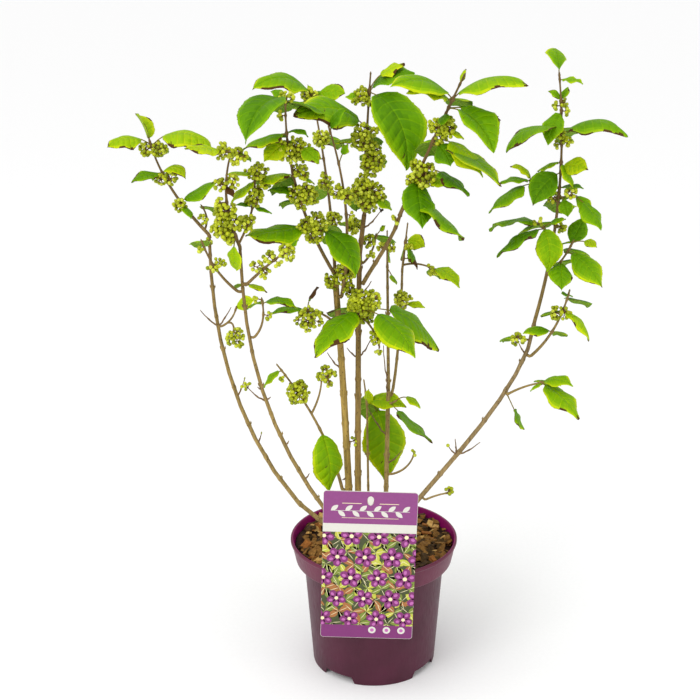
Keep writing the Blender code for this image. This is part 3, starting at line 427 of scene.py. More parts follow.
def make_mulch():
    """The chips, strewn flat but tilted a little, and kept inside the pot's wall."""
    draw = random.Random(MULCH_SEED)
    finishes = [
        bark_finish("bark_black", pigment(46, 32, 14), pigment(90, 66, 32), 0.003),
        bark_finish("bark_brown", pigment(98, 66, 26), pigment(158, 114, 54), 0.0035),
        bark_finish("bark_red", pigment(122, 72, 26), pigment(170, 108, 46), 0.0035),
        bark_finish("bark_tan", pigment(178, 132, 66), pigment(222, 182, 110), 0.003),
    ]
    mulch = Bundle()
    for _ in range(CHIP_COUNT):
        chip, chip_faces, depth = bark_chip(draw)
        radius = MULCH_RADIUS * sqrt(draw.random())
        spot = direction(draw.uniform(0, 360)) * radius
        heading, pitch, bank = draw.uniform(0, 360), draw.gauss(0, CHIP_PITCH), draw.gauss(0, CHIP_BANK)
        along = direction(heading, pitch)
        across = direction(heading + 90, bank)
        across = (across - along * across.dot(along)).normalized()
        upward = along.cross(across)
        lift = mulch_height(spot.x, spot.y) + depth * CHIP_SINK + draw.uniform(0, CHIP_PILE)
        centre = Vector((spot.x, spot.y, lift))
        points = []
        for corner in chip:
            place = centre + along * corner.x + across * corner.y + upward * corner.z
            out = hypot(place.x, place.y) / (MULCH_RADIUS + CHIP_SPILL)
            points.append((place.x / max(1, out), place.y / max(1, out), place.z))
        mulch.add(points, chip_faces, draw.choices(range(4), CHIP_SHARES)[0])
    dress(mulch.piece("bark_chips", finishes, smooth=False), "compost", "compost")


make_compost()
make_mulch()

# Picture label
# A card of printed white plastic, 0.8 mm thick with small round corners. A pale peg fills the slot that it
# hangs by, and a tongue on its back hooks over the rim. Its print is a plain pattern of flowers and leaves
# between two purple bands.

GAP = 0.0003
LABEL_WIDTH = 0.0895
LABEL_HEIGHT = 0.1566
LABEL_THICKNESS = 0.0008
LABEL_CORNER = 0.003
LABEL_FOOT = (-0.0075, -0.0861, 0.0689)
LABEL_TILT = 1.8
CORNER_STEPS = 8
SLOT_WIDTH = 0.0066
SLOT_HEIGHT = 0.0096
SLOT_Z = LABEL_HEIGHT - 0.0095
SLOT_SIDES = 28
CUT_DEPTH = 0.01
PEG_WIDTH = 0.9
PEG_TAPER = 25
PEG_DEPTH = 0.0002
TONGUE_WIDTH = 0.014
TONGUE_DROP = 0.007
TONGUE_REACH = 0.0060
TONGUE_THICKNESS = 0.001
TONGUE_SINK = 0.0002
TONGUE_ROUND = 0.0003

# What is printed, in metres on the card. Ink is laid in thin layers, and a later layer covers an earlier one.

INK = 0.00006
PRINT_MARGIN = 0.0003
TOP_BAND = (0.1229, 0.1566)
PICTURE = (0.0141, 0.1139)
LEAF_GRID = (9, 8)
LEAF_PITCH = (0.0135, 0.0128)
LEAF_START = (-0.003, 0.002)
LEAF_TURNS = (0.6, 2.4, 3.9, 5.4)
LEAF_LENGTH = (0.010, 0.015)
LEAF_WIDTH = (0.005, 0.0075)
RIB_LENGTH = 0.010
RIB_WIDTH = 0.0005
FLOWER_GRID = (5, 4)
FLOWER_PITCH = (0.0262, 0.0222)
FLOWER_START = (0.0015, 0.007)
FLOWER_RADIUS = (0.0090, 0.0108)
FLOWER_PETALS = 5
FLOWER_TURN = 1.2
PETAL_REACH = 0.58
PETAL_SIZE = (0.46, 0.38)
LIGHT_REACH = 1.1
LIGHT_TURN = 0.12
LIGHT_SIZE = (0.20, 0.15)
EYE_SIZE = 0.2
LEAF_SWAY = 0.5
PRINT_SEED = 5
RULES = ((0.1438, 0.0006, 0.0085), (0.1288, 0.0004, 0.0))
RULE_SHARE = 0.30
GARLAND_Z = 0.1362
GARLAND_STEP = 0.0068
GARLAND_LEAN = 0.7
GARLAND_HALF = 5
GARLAND_LEAF = (0.0090, 0.0044)
GARLAND_LINE = 0.0004
RING_START = 0.0053
RING_STEP = 0.0142
RING_Z = 0.0090
RING_RADIUS = 0.0037
RING_EYE = 0.0018
INKS = (
    ("card_white", (214, 212, 202), 0.03),
    ("ink_purple", (134, 58, 122), 0.08),
    ("ink_dark_green", (56, 64, 22), 0.3),
    ("ink_violet", (122, 34, 104), 0.2),
    ("ink_lilac", (184, 98, 168), 0.1),
    ("ink_leaf", (112, 128, 36), 0.3),
    ("ink_lime", (184, 186, 60), 0.15),
    ("ink_ochre", (156, 98, 44), 0.2),
    ("ink_cream", (236, 226, 178), 0.05),
    ("ink_plum", (120, 34, 106), 0.06),
)
WHITE, PURPLE, DARK_GREEN, VIOLET, LILAC, LEAF_GREEN, LIME, OCHRE, CREAM, PLUM = range(len(INKS))
LEAF_INKS = (LEAF_GREEN, LIME, OCHRE, DARK_GREEN)
LEAF_INK_SHARES = (36, 22, 24, 18)


def on_card(x, z, depth):
    """A point of the label. X runs from its middle, z up from its foot, and depth back from its face."""
    tilt = radians(LABEL_TILT)
    place = Vector((x * cos(tilt) + z * sin(tilt), depth, z * cos(tilt) - x * sin(tilt)))
    return place + Vector(LABEL_FOOT)


def card_outline(inset=0.0):
    """The label's outline, its corners round, drawn in from the edge by the inset."""
    corner = LABEL_CORNER - inset
    half = LABEL_WIDTH / 2 - LABEL_CORNER
    points = []
    for x, z, start in (
        (half, LABEL_CORNER, -90),
        (half, LABEL_HEIGHT - LABEL_CORNER, 0),
        (-half, LABEL_HEIGHT - LABEL_CORNER, 90),
        (-half, LABEL_CORNER, 180),
    ):
        for step in range(CORNER_STEPS + 1):
            turn = radians(start + 90 * step / CORNER_STEPS)
            points.append((x + corner * cos(turn), z + corner * sin(turn)))
    return points


def swung(x, z, along, aside, turn):
    """The place that lies this far along and aside of x, z once it is turned about it."""
    return (x + along * cos(turn) - aside * sin(turn), z + along * sin(turn) + aside * cos(turn))


def oval(x, z, across, high, corners=20, turn=0.0):
    """An oval outline about x, z from its two half sizes."""
    points = []
    for k in range(corners):
        angle = 2 * pi * k / corners
        points.append(swung(x, z, across * cos(angle), high * sin(angle), turn))
    return points


def lens(x, z, length, width, turn):
    """A pointed leaf outline whose foot is at x, z and whose tip lies towards the turn."""
    points = []
    for side in (1, -1):
        for k in range(6):
            share = k / 6 if side == 1 else 1 - k / 6
            aside = side * width / 2 * sin(pi * share) ** 0.8
            points.append(swung(x, z, length * share, aside, turn))
    return points


def bar(left, right, z, thickness):
    """The outline of a level bar from its foot up."""
    return [(left, z), (right, z), (right, z + thickness), (left, z + thickness)]


def kept_in(outline, low, high):
    """The part of an outline that lies between two heights on the card, inside its side edges."""
    half = LABEL_WIDTH / 2
    for axis, limit, keep in ((1, low, 1), (1, high, -1), (0, -half, 1), (0, half, -1)):
        kept = []
        for k, here in enumerate(outline):
            before = outline[k - 1]
            inside, was_inside = (here[axis] - limit) * keep >= 0, (before[axis] - limit) * keep >= 0
            if inside != was_inside:
                share = (limit - before[axis]) / (here[axis] - before[axis])
                kept.append(tuple(b + (h - b) * share for b, h in zip(before, here)))
            if inside:
                kept.append(here)
        outline = kept
    return outline


def slab(outline, front, back):
    """Points and faces of a flat piece of this outline on the card, between two depths."""
    points = [tuple(on_card(x, z, depth)) for depth in (front, back) for x, z in outline]
    count = len(outline)
    faces = [tuple(range(count)), tuple(reversed(range(count, 2 * count)))]
    faces += [(k, count + k, count + (k + 1) % count, (k + 1) % count) for k in range(count)]
    return points, faces


def lay_ink(sheet, outline, ink, layer):
    """Prints an outline as a thin closed slab. One that is cut away to nothing is skipped."""
    if len(outline) > 2:
        sheet.add(*slab(outline, -INK * layer, -INK * (layer - 1)), ink)


def printed(name, colour, spread):
    """Glossy printed plastic whose ink is a little uneven."""
    material, tree, shader = plain_finish(name, colour, 0.32)
    where = own_coordinates(tree)
    paler = tuple(min(1.0, c * (1 + spread) + 0.02 * spread) for c in colour[:3]) + (1.0,)
    dots = noise(tree, where, 0.0025, 3)
    tree.links.new(ramp(tree, dots, ((0.3, colour), (0.75, paler))), shader.inputs["Base Color"])
    bump(tree, shader, noise(tree, where, 0.012, 1), 0.08, 0.0006)
    return material


def slot_outline():
    """The upright oval slot near the card's top."""
    return oval(0, SLOT_Z, SLOT_WIDTH / 2, SLOT_HEIGHT / 2, SLOT_SIDES)


def cut_slot(body):
    """Cuts the slot right through the card or what is printed on it."""
    cut(body, new_piece("slot", *slab(slot_outline(), -CUT_DEPTH, CUT_DEPTH), [], smooth=False))


def make_card(plastic):
    """The bare card with its slot, and the peg in the slot, which is wider at its top."""
    card = new_piece("label_card", *slab(card_outline(), 0, LABEL_THICKNESS), plastic, smooth=False)
    cut_slot(card)
    dress(card, "label", "label")
    outline = [(x * (PEG_WIDTH + PEG_TAPER * (z - SLOT_Z)), z) for x, z in slot_outline()]
    peg = new_piece("label_peg", *slab(outline, PEG_DEPTH, LABEL_THICKNESS), plastic, smooth=False)
    dress(peg, "label", "label")


def staggered(grid, pitch, start):
    """Places in rows across the picture, with every second row set over by half a step."""
    rows, columns = grid
    for row in range(rows):
        for column in range(columns):
            x = -LABEL_WIDTH / 2 + pitch[0] * (column + 0.5 * (row % 2)) + start[0]
            yield row + column, x, PICTURE[0] + pitch[1] * row + start[1]


def print_flower(sheet, x, z, radius, turn, layer):
    """One round-petalled flower. A pale highlight lies on each petal and a cream eye in the middle."""
    for k in range(FLOWER_PETALS):
        angle = turn + 2 * pi * k / FLOWER_PETALS
        reach = radius * PETAL_REACH
        spot = (x + reach * cos(angle), z + reach * sin(angle))
        petal = oval(*spot, radius * PETAL_SIZE[0], radius * PETAL_SIZE[1], 14, angle)
        lay_ink(sheet, kept_in(petal, *PICTURE), VIOLET, layer)
        way = angle + LIGHT_TURN
        spot = (x + reach * LIGHT_REACH * cos(way), z + reach * LIGHT_REACH * sin(way))
        light = oval(*spot, radius * LIGHT_SIZE[0], radius * LIGHT_SIZE[1], 10, angle)
        lay_ink(sheet, kept_in(light, *PICTURE), LILAC, layer + 1)
    eye = oval(x, z, radius * EYE_SIZE, radius * EYE_SIZE, 10)
    lay_ink(sheet, kept_in(eye, *PICTURE), CREAM, layer + 2)


def print_picture(sheet, draw):
    """Leaves in fans of four under rows of flowers."""
    for number, x, z in staggered(LEAF_GRID, LEAF_PITCH, LEAF_START):
        for turn in LEAF_TURNS:
            aim = turn + draw.uniform(-LEAF_SWAY, LEAF_SWAY)
            leaf = lens(x, z, draw.uniform(*LEAF_LENGTH), draw.uniform(*LEAF_WIDTH), aim)
            ink = draw.choices(LEAF_INKS, LEAF_INK_SHARES)[0]
            lay_ink(sheet, kept_in(leaf, *PICTURE), ink, 2 + number % 2)
            lay_ink(sheet, kept_in(lens(x, z, RIB_LENGTH, RIB_WIDTH, aim), *PICTURE), CREAM, 4)
    for _, x, z in staggered(FLOWER_GRID, FLOWER_PITCH, FLOWER_START):
        print_flower(sheet, x, z, draw.uniform(*FLOWER_RADIUS), draw.uniform(0, FLOWER_TURN), 5)


def print_bands(sheet):
    """Two rules with a garland of leaves between them on the upper band, and three rings on the lower."""
    for z, thickness, middle in RULES:
        for side in (-1, 1):
            left, right = sorted((side * middle, side * LABEL_WIDTH * RULE_SHARE))
            lay_ink(sheet, bar(left, right, z, thickness), CREAM, 2)
    for k in range(-GARLAND_HALF, GARLAND_HALF + 1):
        lean_over = GARLAND_LEAN if k % 2 else -GARLAND_LEAN
        lay_ink(sheet, lens(GARLAND_STEP * (k - 0.5), GARLAND_Z, *GARLAND_LEAF, lean_over), WHITE, 2)
    end = GARLAND_STEP * (GARLAND_HALF + 0.5)
    lay_ink(sheet, bar(-end, end, GARLAND_Z, GARLAND_LINE), WHITE, 3)
    for k in range(3):
        x = RING_START + RING_STEP * k
        lay_ink(sheet, oval(x, RING_Z, RING_RADIUS, RING_RADIUS, 24), WHITE, 2)
        lay_ink(sheet, oval(x, RING_Z, RING_EYE, RING_EYE, 16), LILAC, 3)


def make_print(inks):
    """The upper band, with the slot through it, and all the other ink as one piece."""
    inner = card_outline(PRINT_MARGIN)
    ground = Bundle()
    lay_ink(ground, kept_in(inner, *TOP_BAND), PURPLE, 1)
    band = ground.piece("label_bands", inks, smooth=False)
    cut_slot(band)
    dress(band, "label", "label")
    sheet = Bundle()
    lay_ink(sheet, kept_in(inner, *PICTURE), DARK_GREEN, 1)
    lay_ink(sheet, kept_in(inner, 0, PICTURE[0]), PLUM, 1)
    print_picture(sheet, random.Random(PRINT_SEED))
    print_bands(sheet)
    dress(sheet.piece("label_print", inks, smooth=False), "label", "label")


def make_tongue(plastic):
    """The hook on the card's back: level over the rim, then down inside it."""
    back = LABEL_FOOT[1] + LABEL_THICKNESS
    seat = POT_HEIGHT + GAP
    path = [
        (back - TONGUE_SINK, seat),
        (back + TONGUE_REACH, seat),
        (back + TONGUE_REACH, seat - TONGUE_DROP),
        (back + TONGUE_REACH + TONGUE_THICKNESS, seat - TONGUE_DROP),
        (back + TONGUE_REACH + TONGUE_THICKNESS, seat + TONGUE_THICKNESS),
        (back - TONGUE_SINK, seat + TONGUE_THICKNESS),
    ]
    points = [(side * TONGUE_WIDTH, y, z) for side in (-0.5, 0.5) for y, z in path]
    count = len(path)
    faces = [tuple(reversed(range(count))), tuple(range(count, 2 * count))]
    faces += [(k, (k + 1) % count, count + (k + 1) % count, count + k) for k in range(count)]
    tongue = new_piece("label_tongue", points, faces, plastic, smooth=False)
    edge = tongue.modifiers.new("edge", "BEVEL")
    edge.width = TONGUE_ROUND
    edge.segments = 3
    dress(tongue, "label", "label")


inks = [printed(name, pigment(*colour), spread) for name, colour, spread in INKS]
make_card(inks[:1])
make_print(inks)
make_tongue(inks[:1])

# Stems and bare boughs
# Seven woody shoots rise from one crown at the mulch, olive tan below and darker brown above. The bark is
# thin and finely ridged, with corky dots, and swells to a ring at each pair of old buds.

LIMB_STEPS = 9
BOUGH_SEAT = 0.7
WAY_STEP = 0.02
BUD_SPACING = 0.034
BUD_RING = 0.0016
RING_SWELL = 0.22
BUD_RISE = 30
BUD_SCATTER = 20
BUD_SEAT = 0.8
BUD_RADII = (0.0009, 0.0010, 0.0007, 0.0002)
BARK_SIDES = 14
BARK_STEP = 0.0016
BARK_RIDGES = 0.022
BARK_TOP = 0.50
BARK_STREAK = 0.0022
CORK_DOTS_PER_METRE = 420
FOOT_FLARE = 0.0012
FLARE_HEIGHT = 0.012
WHOLE_TURN = 6.3

# Rings round a path are squared up against one of these ways, so that they don't twist along it.

SKEW_IF_RISING = (0.31, 0.95, 0.05)
SKEW_IF_LEVEL = (0.1, 0.2, 0.97)

# Each row: name, carrier or None, height it leaves its carrier at, tip, delay, haste,
# radius at the foot and at the tip. A stem with no carrier has its foot instead of a height.

LIMBS = (
    ("stem_a", None, (-0.036, 0.016), (-0.164, 0.062, 0.434), 0.8, 2.05, 0.0024, 0.0016),
    ("stem_b", None, (-0.016, -0.015), (-0.121, -0.060, 0.453), 1.0, 2.4, 0.0023, 0.0014),
    ("stem_c", None, (-0.024, 0.004), (-0.037, 0.000, 0.410), 1.45, 1.0, 0.0037, 0.0030),
    ("stem_d", None, (-0.016, -0.004), (-0.009, 0.000, 0.472), 2.05, 0.3, 0.0035, 0.0022),
    ("stem_e", None, (0.011, 0.008), (0.015, 0.040, 0.280), 0.65, 0.75, 0.0026, 0.0021),
    ("stem_f", None, (-0.005, 0.017), (-0.007, 0.045, 0.262), 1.0, 1.0, 0.0014, 0.0010),
    ("stem_g", None, (0.010, -0.012), (0.157, 0.012, 0.361), 1.25, 1.65, 0.0026, 0.0019),
    ("bough_d_right", "stem_d", 0.405, (0.024, -0.024, 0.476), 1.1, 1.3, 0.0021, 0.0016),
    ("bough_e_left", "stem_e", 1.0, (0.014, 0.100, 0.393), 1.0, 1.0, 0.0018, 0.0013),
    ("bough_e_right", "stem_e", 0.268, (0.029, 0.085, 0.392), 0.7, 1.4, 0.0016, 0.0012),
)


def lean(share, delay, haste):
    """How much of its reach along X a stem has made at this share of its height."""
    return 1 - (1 - share**delay) ** haste


def stem_path(foot, tip, delay, haste, steps):
    """A stem that leans out along X by the rule above, and evenly along Y."""
    points = []
    for k in range(steps + 1):
        share = k / steps
        point = foot.lerp(tip, share)
        point.x = foot.x + (tip.x - foot.x) * lean(share, delay, haste)
        points.append(point)
    return points


def path_length(path):
    """The length along a path."""
    return sum((after - before).length for before, after in zip(path, path[1:]))


def point_on(path, share):
    """The point at this share of the path's length."""
    pieces = [(after - before).length for before, after in zip(path, path[1:])]
    left = min(max(share, 0.0), 1.0) * sum(pieces)
    for k, piece in enumerate(pieces[:-1]):
        if left <= piece:
            return path[k].lerp(path[k + 1], left / piece)
        left -= piece
    return path[-2].lerp(path[-1], min(1.0, left / pieces[-1]))


def way_on(path, share):
    """The direction of the path at this share of its length."""
    return (point_on(path, share + WAY_STEP) - point_on(path, share - WAY_STEP)).normalized()


def share_at_height(path, height):
    """The share of the path's length at which a rising path reaches this height."""
    run, whole = 0.0, path_length(path)
    for before, after in zip(path, path[1:]):
        if before.z <= height <= after.z:
            return (run + (after - before).length * (height - before.z) / (after.z - before.z)) / whole
        run += (after - before).length
    return 1.0


def beside(limb, height, towards, radius):
    """A point beside the limb at this height, on the side of the target, clear by the gap."""
    path, foot_radius, tip_radius = limb
    share = share_at_height(path, height)
    centre, along = point_on(path, share), way_on(path, share)
    side = towards - centre
    side = (side - along * side.dot(along)).normalized()
    own_radius = foot_radius + (tip_radius - foot_radius) * share
    return centre + side * (own_radius + radius * BOUGH_SEAT + GAP)


def limb_paths():
    """Every limb's path and end radii by name, each beside or above what carries it."""
    made = {}
    for name, carrier, place, tip, delay, haste, foot_radius, tip_radius in LIMBS:
        tip = Vector(tip)
        if carrier is None:
            foot = Vector((place[0], place[1], SOIL_Z + GAP))
        elif place == 1.0:
            below = made[carrier][0]
            foot = below[-1] + (tip - below[-1]).normalized() * 2 * GAP
        else:
            foot = beside(made[carrier], place, tip, foot_radius)
        made[name] = (stem_path(foot, tip, delay, haste, LIMB_STEPS), foot_radius, tip_radius)
    return made


def tube(path, radii, sides, rough=0.0, draw=None):
    """Points and faces of a tube along a path with a radius at each point. Its ends are domed shut."""
    spots = np.array([tuple(point) for point in path])
    ways = np.gradient(spots, axis=0)
    ways /= np.linalg.norm(ways, axis=1)[:, None]
    rest = SKEW_IF_RISING if abs(ways[:, 2]).mean() > 0.6 else SKEW_IF_LEVEL
    across = np.cross(ways, np.array(rest))
    across /= np.linalg.norm(across, axis=1)[:, None]
    over = np.cross(ways, across)
    turns = 2 * np.pi * np.arange(sides) / sides
    radii = np.asarray(radii)[:, None] * np.ones(sides)
    if rough:
        phase = [draw.uniform(0, WHOLE_TURN) for _ in range(3)]
        run = np.arange(len(spots))[:, None]
        ridge = np.sin(3 * turns + phase[0] + run * 0.05) + 0.7 * np.sin(5 * turns + phase[1] - run * 0.09)
        radii = radii * (1 + rough * ridge + rough * 0.5 * np.sin(run * 0.7 + 2 * turns + phase[2]))
    ring = across[:, None] * np.cos(turns)[None, :, None] + over[:, None] * np.sin(turns)[None, :, None]
    points = (spots[:, None] + ring * radii[:, :, None]).reshape(-1, 3)
    ends = [spots[0] - ways[0] * radii[0, 0] * 0.5, spots[-1] + ways[-1] * radii[-1, 0] * 0.5]
    points = np.concatenate([points, ends])
    last = (len(spots) - 1) * sides
    faces = []
    for k in range(len(spots) - 1):
        for side in range(sides):
            after = (side + 1) % sides
            low, high = k * sides, (k + 1) * sides
            faces.append((low + side, low + after, high + after, high + side))
    foot, tip = len(points) - 2, len(points) - 1
    for side in range(sides):
        after = (side + 1) % sides
        faces.append((foot, after, side))
        faces.append((tip, last + side, last + after))
    return points, faces


def stem_bark(name, *tints):
    """Olive tan bark that darkens upwards through three tints, with corky dots and fine ridges."""
    low, middle, high = (pigment(*tint) for tint in tints)
    material, tree, shader = plain_finish(name, low, 0.72, 0.3)
    where = own_coordinates(tree)
    up = own_coordinates(tree, UPRIGHT)
    height = tree.nodes.new("ShaderNodeSeparateXYZ")
    tree.links.new(where, height.inputs["Vector"])
    rise = tree.nodes.new("ShaderNodeMapRange")
    rise.inputs["From Min"].default_value = SOIL_Z
    rise.inputs["From Max"].default_value = BARK_TOP
    tree.links.new(height.outputs["Z"], rise.inputs["Value"])
    base = ramp(tree, rise.outputs["Result"], ((0.0, low), (0.45, middle), (1.0, high)))
    streak = ramp(tree, noise(tree, up, BARK_STREAK, 5, 0.6), ((0.32, grey(0.50)), (0.66, grey(1.12))))
    shaded = tree.nodes.new("ShaderNodeMix")
    shaded.data_type = "RGBA"
    shaded.blend_type = "MULTIPLY"
    shaded.inputs["Factor"].default_value = 0.9
    tree.links.new(base, shaded.inputs["A"])
    tree.links.new(streak, shaded.inputs["B"])
    dots = tree.nodes.new("ShaderNodeTexVoronoi")
    dots.inputs["Scale"].default_value = CORK_DOTS_PER_METRE
    tree.links.new(own_coordinates(tree, (1, 1, 0.55)), dots.inputs["Vector"])
    corky = ramp(tree, dots.outputs["Distance"], ((0.12, grey(1.0)), (0.22, grey(0.0))))
    speckled = tree.nodes.new("ShaderNodeMix")
    speckled.data_type = "RGBA"
    tree.links.new(corky, speckled.inputs["Factor"])
    tree.links.new(shaded.outputs["Result"], speckled.inputs["A"])
    speckled.inputs["B"].default_value = pigment(84, 62, 40)
    tree.links.new(speckled.outputs["Result"], shader.inputs["Base Color"])
    bump(tree, shader, streak, 0.5, 0.0006)
    bump(tree, shader, corky, 0.5, 0.0004)
    return material


BARK = stem_bark("stem_bark", (176, 150, 92), (160, 134, 76), (122, 96, 54))
BARK_BY_LIMB = {
    "stem_c": stem_bark("bark_honey", (190, 162, 86), (180, 150, 76), (150, 120, 62)),
    "stem_d": stem_bark("bark_brown_olive", (162, 134, 70), (150, 122, 64), (122, 94, 50)),
    "stem_g": stem_bark("bark_sandy", (168, 142, 92), (156, 132, 90), (122, 96, 56)),
}


def make_limb(name, path, foot_radius, tip_radius):
    """One limb with its bark's relief, the rings at its buds, and a bud pair on each ring."""
    draw = random.Random(name)
    length = path_length(path)
    steps = round(length / BARK_STEP)
    spots = [point_on(path, k / steps) for k in range(steps + 1)]
    rings = np.arange(BUD_SPACING * draw.uniform(0.3, 0.9), length, BUD_SPACING)
    rings = rings + np.array([draw.uniform(-0.3, 0.3) for _ in rings]) * BUD_SPACING
    run = np.linspace(0, length, steps + 1)
    radii = foot_radius + (tip_radius - foot_radius) * run / length
    for ring in rings:
        radii = radii * (1 + RING_SWELL * np.exp(-(((run - ring) / BUD_RING) ** 2)))
    if name.startswith("stem"):
        radii = radii + FOOT_FLARE * np.clip(1 - run / FLARE_HEIGHT, 0, 1) ** 2
    limb = Bundle()
    limb.add(*tube(spots, radii, BARK_SIDES, BARK_RIDGES, draw), 0)
    for number, ring in enumerate(rings):
        centre, along = point_on(path, ring / length), way_on(path, ring / length)
        own_radius = foot_radius + (tip_radius - foot_radius) * ring / length
        for side in (0, 180):
            out = direction(side + 90 * (number % 2) + draw.uniform(-BUD_SCATTER, BUD_SCATTER), BUD_RISE)
            start = centre + out * own_radius * BUD_SEAT
            bud = [
                start,
                start + out * 0.0009,
                start + out * 0.0014 + along * 0.0006,
                start + along * 0.0024 + out * 0.0016,
            ]
            limb.add(*tube(bud, BUD_RADII, 6), 0)
    made = limb.piece("bark_" + name, [BARK_BY_LIMB.get(name, BARK)])
    dress(made, "bark", name)


limbs = limb_paths()
for name, (path, foot_radius, tip_radius) in limbs.items():
    make_limb(name, path, foot_radius, tip_radius)

# Crown of the left outer stem
# Thin side shoots carry opposite leaves, and a stalked ball of unripe berries sits in each leaf's angle.
# Blades are soft, toothed and puckered between sunken veins, and some have yellowed or scorched edges.

SEED = 17
MATE_SHARE = 0.72
MATE_SIZES = (0.7, 0.95)
MATE_TURN = 25
MATE_ROLL = 0.35
MATE_RISE = -4
MATE_DROOP = 38
MATE_SPREAD = 0.6
BACK = 90
BACK_ARC = (15, 165)
JOINT_SHARE = 0.05
JOINT_ANGLE = 60

# Shoots are a little thicker the further they reach, and swell at the joints where leaves sit.

SHOOT_START = 0.003
SHOOT_ROOT = 0.0010
SHOOT_MOST_ROOT = 0.0019
SHOOT_THICKENING = 0.008
FORKED_ROOT = 0.0012
SHOOT_TIP = 0.0008
SHOOT_SIDES = 8
SHOOT_STEPS = 18
RING_STEP_LENGTH = 0.0022
JOINT_SWELL = 0.0005
JOINT_LENGTH = 0.0018
END_BUD_MIDDLE = 0.0012
END_BUD_LENGTH = 0.003
END_BUD_SWELL = 1.25
END_BUD_POINT = 0.0002

# A blade is a grid. Its rows follow the side veins, and its columns stand at shares of its half width.
# Blades up to a length have so many pairs of side veins. What a leaf's own looks don't give is dealt
# between two limits.

SPINE_STEPS = 32
STALK_SHARE = 0.09
STALK_SINK = 0.0004
STALK_RADII = (0.00085, 0.0006, 0.00055, 0.0006, 0.0005)
BLADE_WIDTH = 0.53
BLADE_THICKNESS = 0.00045
RIB_THICKNESS = 0.0007
RIB_SINK = 0.0006
COLUMNS = (0.0, 0.03, 0.2, 0.38, 0.56, 0.74, 0.87, 0.945, 1.0)
REACH = len(COLUMNS) - 1
VEIN_PAIRS = ((0.034, 5), (0.05, 6), (0.075, 7), (1.0, 8))
FOOT_ROW = 0.032
FIRST_VEIN = 0.08
VEIN_RUN = 0.80
VEIN_HALF = 0.009
VEIN_SWEEP = 0.7
FOOT_TAPER = 0.68
TIP_TAPER = 1.12
TOOTH = 0.011
PUCKER = 0.009
WIDTH_SPREAD = (0.96, 1.04)
BLADE_TWIST = 0.3
BLADE_SINK = 0.0003
LEFT_WAVES = 2.3
RIGHT_WAVES = 2.0
DEALT_LOOKS = {
    "widest": (0.42, 0.48),
    "taper": (1.0, 1.2),
    "fold": (-0.16, 0.02),
    "curl": (0.0, 0.30),
    "wave": (0.02, 0.06),
}

# Leaf tissue runs from deep green, by way of lime, to yellow. It is dealt out by face in small steps.
# A finish is how far along that scale the tissue lies beside the midrib and at the edge.

LEAF_SCALE = ((76, 124, 0), (100, 150, 0), (122, 167, 2), (152, 186, 4), (194, 208, 12))
STEPS_PER_SHADE = 3
LEAF_FINISHES = {
    "deep": (0.1, 1.0),
    "green": (0.9, 1.9),
    # The rimmed finish is a darker copy of edged: painted shade for upturned leaves that the lamps light
    # strongly.
    "rimmed": (0.3, 2.4),
    "edged": (1.0, 3.6),
    "fresh": (1.9, 2.9),
    "lime": (2.6, 3.5),
    "yellow": (3.1, 4.0),
}
COMMON_FINISHES = {"deep": 16, "green": 30, "edged": 22, "fresh": 18, "lime": 11, "yellow": 3}
OTHER_TINTS = {
    "scorch": (84, 56, 28),
    "under": (118, 156, 40),
    "under_vein": (148, 176, 62),
    "under_lime": (156, 182, 44),
    "leaf_stalk": (128, 112, 40),
}
PALER_MARGIN = (1.5, 1.0, 0.3)
VEIN_SHADE = 0.6
MIDRIB_SHADE = 0.9
MIDRIB_END = 0.93
CLOUD_SHADE = 0.22
SPECK_SHADE = 0.12
MUCH_DAMAGE = 0.9
MUCH_DAMAGE_SHARE = 0.2
SLIGHT_DAMAGE = (0.0, 0.0, 0.25)
BROWN_TIPS = (-0.05, -0.05, 0.03)
RAGGED = 0.03
SPOTS = (0, 0, 1, 2)

# Scorched tissue, by rows: the ring of faces, counted in from the edge, the damage above which it comes,
# the share of the blade that it starts at, the level that a patchy field has to pass, and how far damage
# lowers that level.

SCORCH = (
    (1, 0.0, 0.0, 1.7, 1.9),
    (2, 0.3, 0.0, 2.0, 1.3),
    (3, 0.7, 0.0, 2.2, 1.1),
    (1, 0.75, 0.35, -0.8, 0.0),
    (2, 0.75, 0.45, 0.1, 0.0),
)

# A row of leaves is: share of the shoot, length, heading, rise, droop and roll, then a finish and its own
# looks, if any. A row of fruit is: share of the shoot, radius, heading, rise, and fullness below 1, if any.
# A mass leaves its limb at a height, or at the limb's tip where that is 1.0, and its first shoot carries
# the others.

Mass = namedtuple("Mass", "limb height heading shoots mates", defaults=(True,))
Shoot = namedtuple("Shoot", "end bow fork leaves fruit", defaults=((0.0, 0.0, 0.0), 0.0, (), ()))


def leaf_colours():
    """Every tint by name, the ones of the scale first."""
    made = {}
    for number in range((len(LEAF_SCALE) - 1) * STEPS_PER_SHADE + 1):
        low, part = divmod(number, STEPS_PER_SHADE)
        high = min(low + 1, len(LEAF_SCALE) - 1)
        share = part / STEPS_PER_SHADE
        made[f"tint_{number:02d}"] = [a + (b - a) * share for a, b in zip(LEAF_SCALE[low], LEAF_SCALE[high])]
    made.update(OTHER_TINTS)
    return made


def leaf_finish(name, colour):
    """Leaf tissue in one plain tint, with a fine grain and a soft waxy gloss."""
    gloss = 0.75 if name == "scorch" or name.startswith("under") else 0.5
    material, tree, shader = plain_finish("leaf_" + name, pigment(*colour), gloss, 0.08)
    grain = noise(tree, own_coordinates(tree), 0.0011, 3)
    worn = ramp(tree, grain, ((0.3, grey(gloss - 0.08)), (0.7, grey(gloss + 0.1))))
    tree.links.new(worn, shader.inputs["Roughness"])
    bump(tree, shader, grain, 0.35, 0.0005)
    return material


